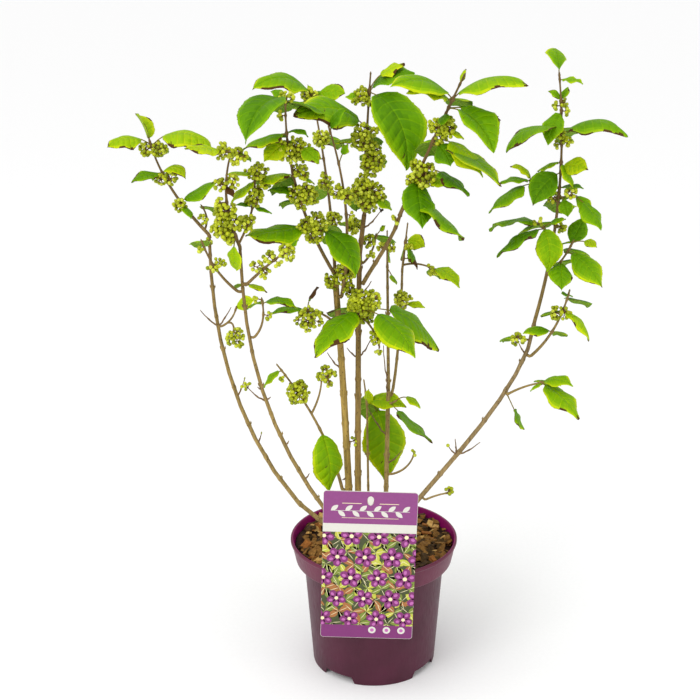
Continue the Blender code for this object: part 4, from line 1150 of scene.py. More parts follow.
LEAF_COLOURS = leaf_colours()
TINT = {name: number for number, name in enumerate(LEAF_COLOURS)}
LAST_SHADE = (len(LEAF_SCALE) - 1) * STEPS_PER_SHADE
LEAF_MATERIALS = [leaf_finish(name, colour) for name, colour in LEAF_COLOURS.items()]


def mass_start(mass):
    """Where a mass's first shoot leaves its limb, and the way that it sets out."""
    path, foot_radius, tip_radius = limbs[mass.limb]
    if mass.height == 1.0:
        along = (path[-1] - path[-2]).normalized()
        return path[-1] + along * GAP, along
    share = share_at_height(path, mass.height)
    centre, along = point_on(path, share), way_on(path, share)
    side = direction(mass.heading)
    side = (side - along * side.dot(along)).normalized()
    own_radius = foot_radius + (tip_radius - foot_radius) * share
    return centre + side * (own_radius + GAP), side


def shoot_path(start, end, bow, steps):
    """A shoot from start to end that bows sideways, most at its middle."""
    points = []
    for k in range(steps + 1):
        share = k / steps
        points.append(start + (end - start) * share + Vector(bow) * 4 * share * (1 - share))
    return points


def shoot_paths(mass):
    """Paths and end radii of a mass's shoots. The first leaves its limb squarely."""
    start, along = mass_start(mass)
    made = []
    for number, shoot in enumerate(mass.shoots):
        end = Vector(shoot.end)
        if number == 0:
            root = min(SHOOT_MOST_ROOT, SHOOT_ROOT + SHOOT_THICKENING * (end - start).length)
            path = shoot_path(start + along * SHOOT_START, end, shoot.bow, SHOOT_STEPS)
            path.insert(0, start)
        else:
            root = FORKED_ROOT
            path = shoot_path(point_on(made[0][0], shoot.fork), end, shoot.bow, SHOOT_STEPS)
        made.append((path, root, SHOOT_TIP))
    return made


def add_twig(twigs, path, root, tip, joints):
    """A shoot that swells at each joint where leaves sit, and ends in a small bud."""
    length = path_length(path)
    steps = max(6, round(length / RING_STEP_LENGTH))
    spots = [point_on(path, k / steps) for k in range(steps + 1)]
    run = np.linspace(0, 1, steps + 1)
    radii = root + (tip - root) * run
    for joint in joints:
        radii = radii + JOINT_SWELL * np.exp(-(((run - joint) * length / JOINT_LENGTH) ** 2))
    twigs.add(*tube(spots, radii, SHOOT_SIDES), 0)
    way = (path[-1] - path[-2]).normalized()
    bud = [path[-1], path[-1] + way * END_BUD_MIDDLE, path[-1] + way * END_BUD_LENGTH]
    twigs.add(*tube(bud, (tip, tip * END_BUD_SWELL, END_BUD_POINT), 6), 0)


def leaf_rows(mass_name, mass):
    """The listed leaves, and the mates that opposite leaves have unless the mate has fallen.

    Mates are dealt only to the back, since every leaf of the front is listed.
    """
    draw, taste = random.Random(f"{SEED} {mass_name}"), random.Random(f"{mass_name} tints")
    for number, shoot in enumerate(mass.shoots):
        for share, length, heading, rise, droop, roll, *looks in shoot.leaves:
            finish = looks[0] if looks else pick_finish(taste)
            look = looks[1] if len(looks) > 1 else {}
            yield number, share, length, heading, rise, droop, radians(roll), finish, look
            keeps_mate = mass.mates and draw.random() < MATE_SHARE
            size, turn = draw.uniform(*MATE_SIZES), draw.uniform(-MATE_TURN, MATE_TURN)
            mate_roll = draw.uniform(-MATE_ROLL, MATE_ROLL)
            mate = (heading + 180 + turn) % 360
            at_back = BACK_ARC[0] < mate < BACK_ARC[1]
            if keeps_mate and at_back and not is_taken(shoot.leaves, share, mate):
                lie = (length * size, BACK + (mate - BACK) * MATE_SPREAD, MATE_RISE, MATE_DROOP, mate_roll)
                yield number, share, *lie, pick_finish(taste), {}


def is_taken(rows, share, heading):
    """Whether a listed leaf already sits at this joint on this side."""
    for row in rows:
        between = abs((heading - row[2] + 180) % 360 - 180)
        if abs(share - row[0]) < JOINT_SHARE and between < JOINT_ANGLE:
            return True
    return False


def pick_finish(taste):
    """The finish of a leaf whose own isn't listed."""
    return taste.choices(list(COMMON_FINISHES), COMMON_FINISHES.values())[0]


def blade_grid(pairs):
    """The rows and columns of a blade whose rows follow its side veins, with what each face covers."""
    rows = [(FOOT_ROW, 0)]
    step = VEIN_RUN / (pairs - 1)
    for k in range(pairs):
        at = FIRST_VEIN + step * k
        rows += [(at - VEIN_HALF, 0), (at, 1), (at + VEIN_HALF, 0), (at + step / 2, 0)]
    wide, narrow, count = 2 * REACH + 1, 2 * REACH - 1, len(rows)
    under_first = 2 + count * wide

    def top(row, column):
        return 2 + row * wide + column + REACH

    def under(row, column):
        if abs(column) == REACH:
            return top(row, column)
        return under_first + row * narrow + column + REACH - 1

    faces, places = [], []
    for column in range(-REACH, REACH):
        for index, is_under in ((top, 0), (under, 1)):
            corners = (0, index(0, column + 1), index(0, column))
            faces.append(corners[::-1] if is_under else corners)
            places.append((-1, column, is_under))
            for row in range(count - 1):
                near = (index(row, column), index(row, column + 1))
                corners = near + (index(row + 1, column + 1), index(row + 1, column))
                faces.append(corners[::-1] if is_under else corners)
                places.append((row, column, is_under))
            corners = (index(count - 1, column), index(count - 1, column + 1), 1)
            faces.append(corners[::-1] if is_under else corners)
            places.append((count - 1, column, is_under))
    return np.array([row[0] for row in rows]), np.array([row[1] for row in rows]), faces, np.array(places)


BLADE_GRIDS = {pairs: blade_grid(pairs) for _, pairs in VEIN_PAIRS}


def blade_outline(share, widest, taper):
    """The blade's half width by share of its length, 1 where it is widest, with its foot the rounder end."""
    lean_forward = log(0.5) / log(widest)
    drawn_out = taper * (FOOT_TAPER + (TIP_TAPER - FOOT_TAPER) * share)
    return np.sin(np.pi * np.clip(share, 0, 1) ** lean_forward) ** drawn_out


def spine(base, length, heading, rise, droop):
    """A leaf's midrib as places, and the across and upward ways along it."""
    run = np.linspace(0, 1, SPINE_STEPS + 1)
    tilt = np.radians(rise - droop * run)
    turn = np.full(SPINE_STEPS + 1, radians(heading))
    ways = np.stack([np.cos(turn) * np.cos(tilt), np.sin(turn) * np.cos(tilt), np.sin(tilt)], axis=1)
    middle = (ways[1:] + ways[:-1]) / 2 * length / SPINE_STEPS
    places = np.array(base) + np.concatenate([np.zeros((1, 3)), np.cumsum(middle, axis=0)])
    across = np.stack([np.sin(turn), -np.cos(turn), np.zeros(SPINE_STEPS + 1)], axis=1)
    upward = np.cross(across, ways)
    return run, places, across, upward


def own_or_dealt(look, name, draw):
    """A leaf's own value of this look, or else one dealt to it. Either way one value is drawn."""
    return look.get(name, draw.uniform(*DEALT_LOOKS[name]))


def add_leaf(leaves, base, length, heading, rise, droop, roll, finish, look, draw):
    """One leaf on its stalk. Looks of its own can give its stalk, width, fold and damage."""
    run, places, across, upward = spine(base, length, heading, rise, droop)
    turn = roll + draw.uniform(-BLADE_TWIST, BLADE_TWIST) * (run - 0.5)
    stalk_share = look.get("stalk", STALK_SHARE)
    cosine, sine = np.cos(turn)[:, None], np.sin(turn)[:, None]
    across, upward = across * cosine + upward * sine, upward * cosine - across * sine
    pairs = next(pairs for limit, pairs in VEIN_PAIRS if length < limit)
    start, is_vein, faces, cells = BLADE_GRIDS[pairs]
    columns = np.arange(-REACH, REACH + 1)
    out = np.array(COLUMNS)[np.abs(columns)][None, :]
    side = np.sign(columns)[None, :]
    ends = start + VEIN_SWEEP * start * (1 - start)
    share = start[:, None] + (ends - start)[:, None] * out**1.25
    half = look.get("width", BLADE_WIDTH * draw.uniform(*WIDTH_SPREAD)) * length / 2
    widest, taper = own_or_dealt(look, "widest", draw), own_or_dealt(look, "taper", draw)
    edge = blade_outline(ends, widest, taper)[:, None] * half
    teeth = np.where(np.arange(len(start)) % 2, -1, 1)[:, None] * TOOTH * length * np.sqrt(edge / half)
    lateral = side * (out * edge + (out == 1) * teeth * 0.5)
    phase = [draw.uniform(0, WHOLE_TURN) for _ in range(4)]
    wave = np.sin(2 * np.pi * LEFT_WAVES * ends + phase[0])[:, None] * (side < 0)
    wave = wave + np.sin(2 * np.pi * RIGHT_WAVES * ends + phase[1])[:, None] * (side > 0)
    pucker = (1 - is_vein)[:, None] * np.sin(np.pi * np.clip(out, 0, 1)) * PUCKER * length
    lift = (
        own_or_dealt(look, "fold", draw) * np.abs(lateral)
        - own_or_dealt(look, "curl", draw) * half * out**3 * (edge / half)
        + own_or_dealt(look, "wave", draw) * half * 2 * wave * out**2
        + pucker
        - RIB_SINK * (out < 0.01)
    )
    blade = stalk_share + (1 - stalk_share) * share
    thickness = BLADE_THICKNESS * np.ones_like(lateral) + RIB_THICKNESS * (out < 0.05) * (1 - share)

    def along(at, rows):
        """The spine's rows at these shares of its length."""
        return np.stack([np.interp(at.ravel(), run, rows[:, axis]) for axis in range(3)], axis=1)

    def spread(at, sideways, raised):
        """Points at shares of the spine, moved sideways and raised from it."""
        aside = along(at, across) * sideways.ravel()[:, None]
        return along(at, places) + aside + along(at, upward) * raised.ravel()[:, None]

    top = spread(blade, lateral, lift)
    inner = slice(1, 2 * REACH)
    under = spread(blade[:, inner], lateral[:, inner], (lift - thickness)[:, inner])
    tips = spread(np.array([stalk_share, 1.0]), np.zeros(2), np.array([-BLADE_SINK, 0.0]))
    points = np.concatenate([tips, top, under])
    kinds = blade_kinds(cells, start, is_vein, finish, look, draw)
    leaves.add(points, faces, kinds)
    last = ceil(stalk_share * SPINE_STEPS) + 1
    stalk = [Vector(places[round(k * last / 4)]) - Vector(upward[k]) * STALK_SINK for k in range(5)]
    leaves.add(*tube(stalk, STALK_RADII, 5), TINT["leaf_stalk"])


def blade_kinds(cells, start, is_vein, finish, look, draw):
    """The tint of each face: by its distance from the midrib, its vein, and any scorched edge or spot."""
    near, far = LEAF_FINISHES[finish]
    rows, columns, is_under = cells[:, 0], cells[:, 1], cells[:, 2].astype(bool)
    ring = np.where(columns >= 0, columns, -columns - 1)
    share = np.clip((rows + 1) / len(start), 0, 1)
    chance = np.random.default_rng(draw.randrange(10**6))
    phase = [draw.uniform(0, WHOLE_TURN) for _ in range(4)]
    cloud = np.sin(5 * share + phase[2]) * np.sin(1.1 * columns + phase[3]) * CLOUD_SHADE
    shade = near + (far - near) * ((ring + 0.5) / REACH) ** 2.2 + 0.5 * (far - near) * (share - 0.45) + cloud
    shade = shade + chance.normal(0, SPECK_SHADE, len(shade))
    beside_vein = np.zeros(len(start) + 1, dtype=bool)
    for row in np.flatnonzero(is_vein):
        beside_vein[[row, row + 1]] = True
    on_vein = beside_vein[np.clip(rows + 1, 0, len(start))] & (ring < REACH - 2)
    midrib = (ring == 0) & (share < MIDRIB_END)
    shade = shade + VEIN_SHADE * on_vein + MIDRIB_SHADE * midrib
    for inward, paler in enumerate(PALER_MARGIN, 1):
        shade = shade + paler * (ring == REACH - inward)
    kinds = np.clip(np.round(shade * STEPS_PER_SHADE), 0, LAST_SHADE).astype(int)
    below = TINT["under_lime"] if near > 2 else TINT["under"]
    kinds = np.where(is_under, np.where(on_vein | midrib, TINT["under_vein"], below), kinds)
    side = np.where(columns > 0, 1, -1)
    field = np.sin(9 * share + phase[0] + 1.2 * side) + 0.7 * np.sin(23 * share + phase[1] * side)
    dealt = MUCH_DAMAGE if draw.random() < MUCH_DAMAGE_SHARE else draw.choice(SLIGHT_DAMAGE)
    burnt = look.get("burnt", dealt)
    brown = np.zeros(len(share), dtype=bool)
    for inward, least, first, level, lowering in SCORCH:
        if burnt > least:
            brown |= (ring == REACH - inward) & (share >= first) & (field > level - lowering * burnt)
    ragged = RAGGED * np.sin(2.1 * columns + phase[2])
    brown |= share > 1 + ragged - look.get("burnt_tip", draw.choice(BROWN_TIPS))
    beside = np.flatnonzero(is_vein[4:-4]) + 4
    for _ in range(look.get("spots", draw.choice(SPOTS))):
        spot_row, spot_column = draw.choice(list(beside)), draw.randrange(-REACH + 2, REACH - 2)
        brown |= (rows == spot_row) & (columns == spot_column)
    return np.where(brown, TINT["scorch"], kinds)


BERRY_RADIUS = 0.00195
BERRY_SIDES = 9
BERRY_SQUASH = 0.96
BERRY_DIMPLE = 0.90
BERRY_FOOT = -0.94

# Rings of the berry from its top down: angle from the top, radius, and twist in steps of one side.

BERRY_RINGS = (
    (13, 0.93, 0.5),
    (38, 1.0, 1.0),
    (66, 1.0, 0.0),
    (96, 1.0, 0.0),
    (126, 1.0, 0.0),
    (154, 0.98, 0.5),
)
BUNCH_SPACING = 0.0084
BUNCH_REACH = (0.66, 1.1)
BUNCH_LEAN = (52, 74)
INNER_BUNCHES_ABOVE = 0.009
BERRY_APART = 1.66
BERRY_CLEAR = 0.0007
BERRY_MISSING = 0.24
BERRY_SHARES = (42, 32, 12, 14)
BERRY_SIZES = (0.84, 1.08)
BERRY_REACH = (1.7, 2.15)
BERRY_SLANT = (0.3, 0.2, 0.93)
BERRIES_IN_BUNCH = 7
CLUSTER_STALK_RADII = (0.0008, 0.0006, 0.0006)
BUNCH_STALK_RADII = (0.0006, 0.0004, 0.0005)
BERRY_STALK_RADII = (0.00036, 0.0003, 0.00032, 0.0008)
STALK_SAG = 0.0003
CLUSTER_SEAT = 0.72
CLUSTER_SCATTER = 0.3
GOLDEN_TURN = 2.39996
PATH_STEPS = 60


def berry_mould():
    """One berry of radius 1 about the origin, its foot down and the dark dot of its style on top."""
    sides, levels = BERRY_SIDES, BERRY_RINGS
    points = [(0, 0, BERRY_DIMPLE)]
    for angle, reach, twist in levels:
        radius = reach * sin(radians(angle))
        height = reach * cos(radians(angle)) * BERRY_SQUASH
        for k in range(sides):
            turn = 2 * pi * (k + twist) / sides
            points.append((radius * cos(turn), radius * sin(turn), height))
    points.append((0, 0, BERRY_FOOT))
    faces = [(0, 1 + k, 1 + (k + 1) % sides) for k in range(sides)]
    for level in range(len(levels) - 1):
        high, low = 1 + level * sides, 1 + (level + 1) * sides
        faces += [(high + k, low + k, low + (k + 1) % sides, high + (k + 1) % sides) for k in range(sides)]
    last = 1 + (len(levels) - 1) * sides
    faces += [(last + (k + 1) % sides, last + k, len(points) - 1) for k in range(sides)]
    return np.array(points), faces, sides


MOULD_POINTS, MOULD_FACES, MOULD_DOT = berry_mould()
BERRY_TINTS = {
    "berry_lime": (186, 194, 36),
    "berry_green": (158, 168, 26),
    "berry_dull": (138, 150, 20),
    "berry_pale": (206, 214, 70),
    "berry_dot": (96, 78, 30),
}


def berry_finish(name, colour):
    """Unripe berry skin: one tint, tight and slightly glossy with a faint bloom."""
    material, tree, shader = plain_finish(name, pigment(*colour), 0.34, 0.18)
    bloom = noise(tree, own_coordinates(tree), 0.0012, 2)
    tree.links.new(ramp(tree, bloom, ((0.3, grey(0.28)), (0.7, grey(0.46)))), shader.inputs["Roughness"])
    bump(tree, shader, bloom, 0.2, 0.0003)
    return material


BERRY_MATERIALS = [berry_finish(name, colour) for name, colour in BERRY_TINTS.items()]


def stalk_finish():
    """The stalks of the berries, reddish brown to straw."""
    material, tree, shader = plain_finish("berry_stalk", pigment(126, 92, 46), 0.7)
    blush = noise(tree, own_coordinates(tree), 0.004, 3)
    tints = ramp(tree, blush, ((0.35, pigment(112, 72, 36)), (0.68, pigment(156, 126, 58))))
    tree.links.new(tints, shader.inputs["Base Color"])
    return material


STALK = stalk_finish()


def add_berry(berries, centre, axis, radius, tint):
    """One berry with its top along the axis. Its dot takes the last of the berry tints."""
    across = axis.cross(Vector(BERRY_SLANT))
    across = across.normalized() if across.length > 0.1 else Vector((1, 0, 0))
    over = axis.cross(across)
    turned = MOULD_POINTS @ np.array([tuple(across), tuple(over), tuple(axis)])
    kinds = [len(BERRY_TINTS) - 1] * MOULD_DOT + [tint] * (len(MOULD_FACES) - MOULD_DOT)
    berries.add(np.array(centre) + turned * radius, MOULD_FACES, kinds)


def spiral(count, turn):
    """Evenly spread unit vectors."""
    for k in range(count):
        height = 1 - 2 * (k + 0.5) / count
        flat = sqrt(max(0, 1 - height**2))
        way = turn + GOLDEN_TURN * k
        yield Vector((flat * cos(way), flat * sin(way), height))


def add_cluster(berries, stalks, root, centre, radius, path, fullness, draw):
    """Bunches of berries within the radius, each on its own fork of the stalk, with gaps between bunches."""
    stalks.add(*tube([root, root.lerp(centre, 0.5), centre], CLUSTER_STALK_RADII, 5), 0)
    outward = (centre - root).normalized()
    skin = max(radius - BERRY_RADIUS * 0.9, BERRY_RADIUS)
    taken = []
    for depth in (1.0, 0.5) if radius > INNER_BUNCHES_ABOVE else (1.0,):
        bunches = max(1, round(4 * pi * (skin * depth / BUNCH_SPACING) ** 2 * fullness))
        for way in [outward] if bunches < 2 else spiral(bunches, draw.uniform(0, WHOLE_TURN)):
            aside = Vector([draw.uniform(-CLUSTER_SCATTER, CLUSTER_SCATTER) for _ in range(3)])
            way = (way + aside).normalized()
            fork = centre + way * max(skin * depth * draw.uniform(*BUNCH_REACH) - 1.3 * BERRY_RADIUS, 0)
            stalks.add(*tube([centre, centre.lerp(fork, 0.5), fork], BUNCH_STALK_RADII, 4), 0)
            for spot, size in bunch_spots(fork, way, draw):
                if any((spot - other).length < BERRY_APART * BERRY_RADIUS for other in taken):
                    continue
                if min((spot - point).length for point in path) < BERRY_RADIUS + BERRY_CLEAR:
                    continue
                taken.append(spot)
                axis = (spot - fork).normalized()
                foot = spot - axis * size * 0.9
                bend = fork.lerp(foot, 0.5) + Vector((0, 0, -STALK_SAG))
                stalks.add(*tube([fork, bend, foot - axis * 0.0004, foot], BERRY_STALK_RADII, 4), 0)
                add_berry(berries, spot, axis, size, draw.choices(range(4), BERRY_SHARES)[0])


def bunch_spots(fork, way, draw):
    """One berry straight out from the fork and a ring of up to six round it, as places and sizes."""
    across = way.cross(Vector(SKEW_IF_RISING)).normalized()
    over = way.cross(across)
    start = draw.uniform(0, WHOLE_TURN)
    for number in range(BERRIES_IN_BUNCH):
        lean_out = radians(0 if number == 0 else draw.uniform(*BUNCH_LEAN))
        turn = start + number * pi / 3
        side = across * cos(turn) + over * sin(turn)
        reach = BERRY_RADIUS * draw.uniform(*BERRY_REACH)
        size = BERRY_RADIUS * draw.uniform(*BERRY_SIZES)
        if draw.random() > BERRY_MISSING:
            yield fork + (way * cos(lean_out) + side * sin(lean_out)) * reach, size


def grow_crown(stem, masses):
    """Twigs, leaves, berries and their stalks of these masses, each kind joined as one piece."""
    twigs, leaves, berries, stalks = Bundle(), Bundle(), Bundle(), Bundle()
    for name, mass in masses.items():
        draw = random.Random(f"{name} growth")
        paths = shoot_paths(mass)
        for (path, root, tip), shoot in zip(paths, mass.shoots):
            joints = [row[0] for row in shoot.leaves + shoot.fruit]
            add_twig(twigs, path, root, tip, joints)
            near = [point_on(path, k / PATH_STEPS) for k in range(PATH_STEPS + 1)]
            for share, radius, heading, rise, *fullness in shoot.fruit:
                root_point = point_on(path, share)
                centre = root_point + direction(heading, rise) * radius * CLUSTER_SEAT
                full = fullness[0] if fullness else 1.0
                add_cluster(berries, stalks, root_point, centre, radius, near, full, draw)
        for number, share, *lie in leaf_rows(name, mass):
            add_leaf(leaves, point_on(paths[number][0], share), *lie, draw)
    for growth, kind, slot, materials in (
        (twigs, "twigs", "bark", [BARK]),
        (leaves, "leaves", "foliage", LEAF_MATERIALS),
        (berries, "berries", "foliage", BERRY_MATERIALS),
        (stalks, "berry_stalks", "foliage", [STALK]),
    ):
        if growth.count:
            dress(growth.piece(f"{kind}_{stem}", materials), slot, *masses)


LEFT_OUTER_CROWN = {
    "foliage_a_top": Mass("stem_a", 1.0, 160, shoots=(
        Shoot(end=(-0.223, 0.085, 0.531), bow=(-0.009, 0.0, 0.0), leaves=(
            (0.96, 0.037, 130, 70, 50, -30, "yellow", {"fold": 0.6, "burnt": 0.7}),
            (0.94, 0.052, 220, 40, 75, 15, "lime", {"stalk": 0.22}),
            (0.92, 0.078, 340, 50, 100, -10, "lime", {"stalk": 0.22}),
            (0.66, 0.038, 220, 20, 50, 15, "green"),
            (0.68, 0.036, 330, 55, 125, -15, "yellow", {"burnt": 0.8}),
            (0.40, 0.049, 350, 30, 0, -25, "green", {"burnt_tip": 0.22, "burnt": 0.4}),
            (0.34, 0.024, 295, 10, 60, 20, "green"),
        ), fruit=(
            (0.91, 0.008, 200, -20), (0.88, 0.0095, 350, 20), (0.63, 0.007, 200, -20),
            (0.59, 0.0085, 320, 40), (0.39, 0.0075, 270, -20), (0.40, 0.004, 210, -20, 0.4),
            (0.00, 0.0075, 220, -40, 0.4),
        )),
        Shoot(fork=0.08, end=(-0.171, 0.071, 0.464), bow=(0.003, 0.002, 0.0),
            leaves=((1.00, 0.034, 72, -4, 38, 0),), fruit=((0.50, 0.0065, 230, 0, 0.4),)),
    )),
    "foliage_a_low": Mass("stem_a", 0.346, 320, shoots=(
        Shoot(end=(-0.137, 0.036, 0.369), bow=(0.002, 0.0, -0.002),
            leaves=((0.94, 0.026, 335, 50, 40, -65, "yellow", {"width": 0.59}),)),
        Shoot(fork=0.35, end=(-0.14, 0.036, 0.345), bow=(0.002, 0.0, 0.003),
            fruit=((0.95, 0.0115, 300, -40, 0.55),)),
    )),
}

grow_crown("a", LEFT_OUTER_CROWN)

# Crown of the left inner stem
# It leans less and carries the densest berries of the left side, on two short shoots at its top and thin
# side twigs lower down. One twig holds a loose spray whose forked stalks show.

LEFT_INNER_CROWN = {
    "foliage_b_top": Mass("stem_b", 1.0, 180, shoots=(
        Shoot(end=(-0.124, -0.08, 0.545), bow=(-0.008, 0.0, 0.0), leaves=(
            (1.00, 0.046, 215, 20, 20, 15, "yellow", {"spots": 2, "stalk": 0.24}),
            (0.66, 0.014, 310, -15, 40, -15, "edged", {"burnt_tip": 1.0}),
            (0.14, 0.036, 255, -40, 100, -30, "lime", {"stalk": 0.26}),
        ), fruit=(
            (0.99, 0.009, 210, 20), (0.99, 0.009, 10, -20), (0.68, 0.0075, 200, 0),
            (0.71, 0.0075, 350, 0), (0.39, 0.0095, 240, 20), (0.26, 0.012, 190, -20),
            (0.43, 0.0055, 200, 0, 0.6), (0.44, 0.0045, 0, 0), (0.50, 0.007, 200, 0, 0.5),
            (0.34, 0.0085, 200, 0, 0.9), (0.31, 0.0085, 310, 0), (0.16, 0.0075, 200, -20, 0.9),
            (0.21, 0.0055, 200, -20, 0.7),
        )),
        Shoot(fork=0.06, end=(-0.107, -0.051, 0.52), bow=(0.005, 0.0, 0.0), leaves=(
            (1.00, 0.029, 210, 25, 40, 5, "lime", {"burnt": 0.3}),
            (0.92, 0.034, 230, -15, 25, -10, "lime"), (0.56, 0.016, 200, 30, 40, 15, "deep"),
            (0.56, 0.020, 340, 5, 40, 0, "deep"), (1.00, 0.034, 66, -4, 38, 0),
        ), fruit=(
            (0.99, 0.0095, 330, 40, 0.8), (0.75, 0.0095, 270, -20), (0.71, 0.005, 350, 0, 0.5),
            (0.27, 0.0095, 260, 40), (1.00, 0.0065, 190, 20, 0.8), (0.81, 0.0065, 0, 0, 0.8),
            (0.64, 0.005, 190, 0, 0.8),
        )),
    )),
    "foliage_b_left": Mass("stem_b", 0.412, 170, shoots=(
        Shoot(end=(-0.154, -0.07, 0.463), bow=(-0.003, 0.0, -0.003),
            leaves=((1.00, 0.040, 102, -4, 38, 0),), fruit=(
            (0.58, 0.007, 10, 20, 0.6), (0.57, 0.0055, 250, 0, 0.8),
            (0.89, 0.004, 220, -20, 0.4),
        )),
    )),
    "foliage_b_right": Mass("stem_b", 0.42, 330, shoots=(
        Shoot(end=(-0.073, -0.09, 0.462), bow=(0.001, -0.002, 0.003), leaves=(
            (0.04, 0.022, 340, 5, 40, -5, "yellow", {"burnt_tip": 0.2, "burnt": 0.6}),
            (0.90, 0.017, 350, 55, 20, -20, "green", {"burnt": 0.5, "stalk": 0.45}),
        ), fruit=(
            (0.40, 0.0075, 190, 40, 0.5), (0.42, 0.0065, 330, -40, 0.6),
            (0.67, 0.0075, 180, 40, 0.5), (0.93, 0.0095, 280, 0, 0.4),
            (0.69, 0.005, 320, -40, 0.4), (0.91, 0.004, 210, 60, 0.5),
        )),
    )),
    "foliage_b_low": Mass("stem_b", 0.366, 335, shoots=(
        Shoot(end=(-0.103, -0.054, 0.404), bow=(0.004, 0.0, -0.003),
            leaves=((0.92, 0.038, 340, 35, 75, -5, "edged", {"burnt": 1.0}),),
            fruit=((1.00, 0.005, 200, 20, 0.5), (0.67, 0.005, 320, 0, 0.5),)),
    )),
}

grow_crown("b", LEFT_INNER_CROWN)

# Crown of the thick middle stem
# Three long shoots fan out from its top and reach furthest up on the left of the middle, and a thin twig
# near its foot leads to the low leaf that hangs before the mulch.

BACK_MIDDLE_CROWN = {
    "foliage_c_left": Mass("stem_c", 1.0, 180, shoots=(
        Shoot(end=(-0.077, -0.06, 0.59), bow=(-0.013, 0.0, 0.0), leaves=(
            # This leaf takes the rimmed finish, darkened as painted shade.
            (0.30, 0.072, 330, 10, 100, -15, "rimmed", {"burnt": 0.0, "spots": 2, "stalk": 0.22}),
            (0.32, 0.069, 215, 0, 0, 15, "edged", {"burnt": 0.8}),
            (0.50, 0.031, 200, 40, 60, 15, "deep"),
            (0.60, 0.041, 215, 25, 75, 0, "lime", {"burnt": 1.0}),
            (0.78, 0.034, 230, -15, 20, 35, "yellow", {"spots": 3}),
            (0.76, 0.036, 335, 5, 60, -25, "fresh", {"stalk": 0.41}),
            (0.82, 0.048, 215, 0, 25, 0, "edged", {"burnt": 0.8}),
            (0.82, 0.025, 335, 45, 100, -5, "deep"),
            (0.98, 0.078, 240, 25, 100, 0, "deep", {"fold": 0.3}),
            (1.00, 0.016, 155, 35, 40, 45, "green", {"width": 0.61}),
            (0.47, 0.042, 120, -4, 38, 0), (0.60, 0.046, 127, -14, 38, 0),
            (0.97, 0.042, 102, -4, 38, 0),
        ), fruit=(
            (0.99, 0.0055, 250, 40, 0.8), (1.00, 0.0045, 350, 0, 0.6), (0.74, 0.0105, 230, 0),
            (0.74, 0.012, 0, 0), (0.69, 0.0065, 310, 20), (0.62, 0.0095, 0, 0, 0.8),
            (0.46, 0.014, 290, 40), (0.28, 0.0155, 280, 40), (0.00, 0.0065, 190, 0, 0.35),
            (0.00, 0.008, 220, -40, 0.8), (0.91, 0.004, 190, 0, 0.4),
            (0.00, 0.005, 220, -40, 0.5),
        )),
    )),
    "foliage_c_back": Mass("stem_c", 0.402, 95, shoots=(
        Shoot(end=(-0.061, 0.112, 0.566), bow=(0.004, 0.006, -0.004), leaves=(
            (1.00, 0.077, 210, 60, 100, 20, "edged"),
            (1.00, 0.038, 335, 35, 50, -55, "fresh", {"widest": 0.6}),
            (1.00, 0.014, 180, 80, 20, 45, "lime", {"width": 0.65}),
            (1.00, 0.020, 50, 35, 40, -15, "deep"), (0.98, 0.055, 108, -4, 38, 0),
            (0.80, 0.060, 72, -4, 38, 0), (0.55, 0.060, 114, -14, 38, 0),
            (0.30, 0.055, 81, -19, 38, 0),
        ), fruit=(
            (0.99, 0.0095, 220, 40), (0.79, 0.0105, 280, 0), (0.54, 0.0095, 250, 20),
            (0.35, 0.009, 300, 40), (0.59, 0.004, 200, 0, 0.4), (0.68, 0.005, 200, 0, 0.6),
        )),
    )),
    "foliage_c_right": Mass("stem_c", 0.392, 320, shoots=(
        Shoot(end=(-0.04, -0.04, 0.56), bow=(0.01, 0.0, 0.0), leaves=(
            (0.80, 0.020, 0, 75, 20, -45, "edged", {"stalk": 0.45}),
            (0.98, 0.027, 355, 85, 60, -40, "deep"),
        ), fruit=(
            (0.64, 0.008, 190, 0), (0.63, 0.0095, 290, 0), (0.51, 0.004, 350, 0, 0.5),
        )),
    )),
    "foliage_c_low": Mass("stem_c", 0.368, 205, shoots=(
        Shoot(end=(-0.064, -0.016, 0.382), bow=(0.0, 0.0, 0.003), leaves=(
            (1.00, 0.039, 200, 30, 60, 0, "green", {"burnt": 0.8}),
            (1.00, 0.031, 65, 75, 75, 45, "edged", {"burnt": 1.0, "stalk": 0.31, "burnt_tip": 0.9}),
            (0.90, 0.030, 72, -4, 38, 0),
        ), fruit=((0.92, 0.013, 270, -40, 0.7),)),
    )),
    "foliage_c_foot": Mass("stem_c", 0.186, 165, shoots=(
        Shoot(end=(-0.092, -0.026, 0.33), bow=(0.008, 0.004, 0.0), leaves=(
            (0.48, 0.069, 305, -40, 75, 0, "fresh", {"burnt": 0.2}),
            (0.96, 0.026, 185, -15, 60, 15, "fresh"),
        ), fruit=((0.81, 0.0135, 290, 0, 0.75), (0.92, 0.004, 220, -20, 0.4),)),
        Shoot(fork=0.6, end=(-0.05, -0.034, 0.318), bow=(0.002, 0.0, 0.0),
            fruit=((1.00, 0.0125, 320, 40, 0.35),)),
    )),
}

grow_crown("c", BACK_MIDDLE_CROWN)

# Crown of the straight middle stem
# It runs up to a clean pruning cut, ringed by full berry balls, with the largest leaf hanging at its top
# and three leaves that spread below a crowded joint half way up.

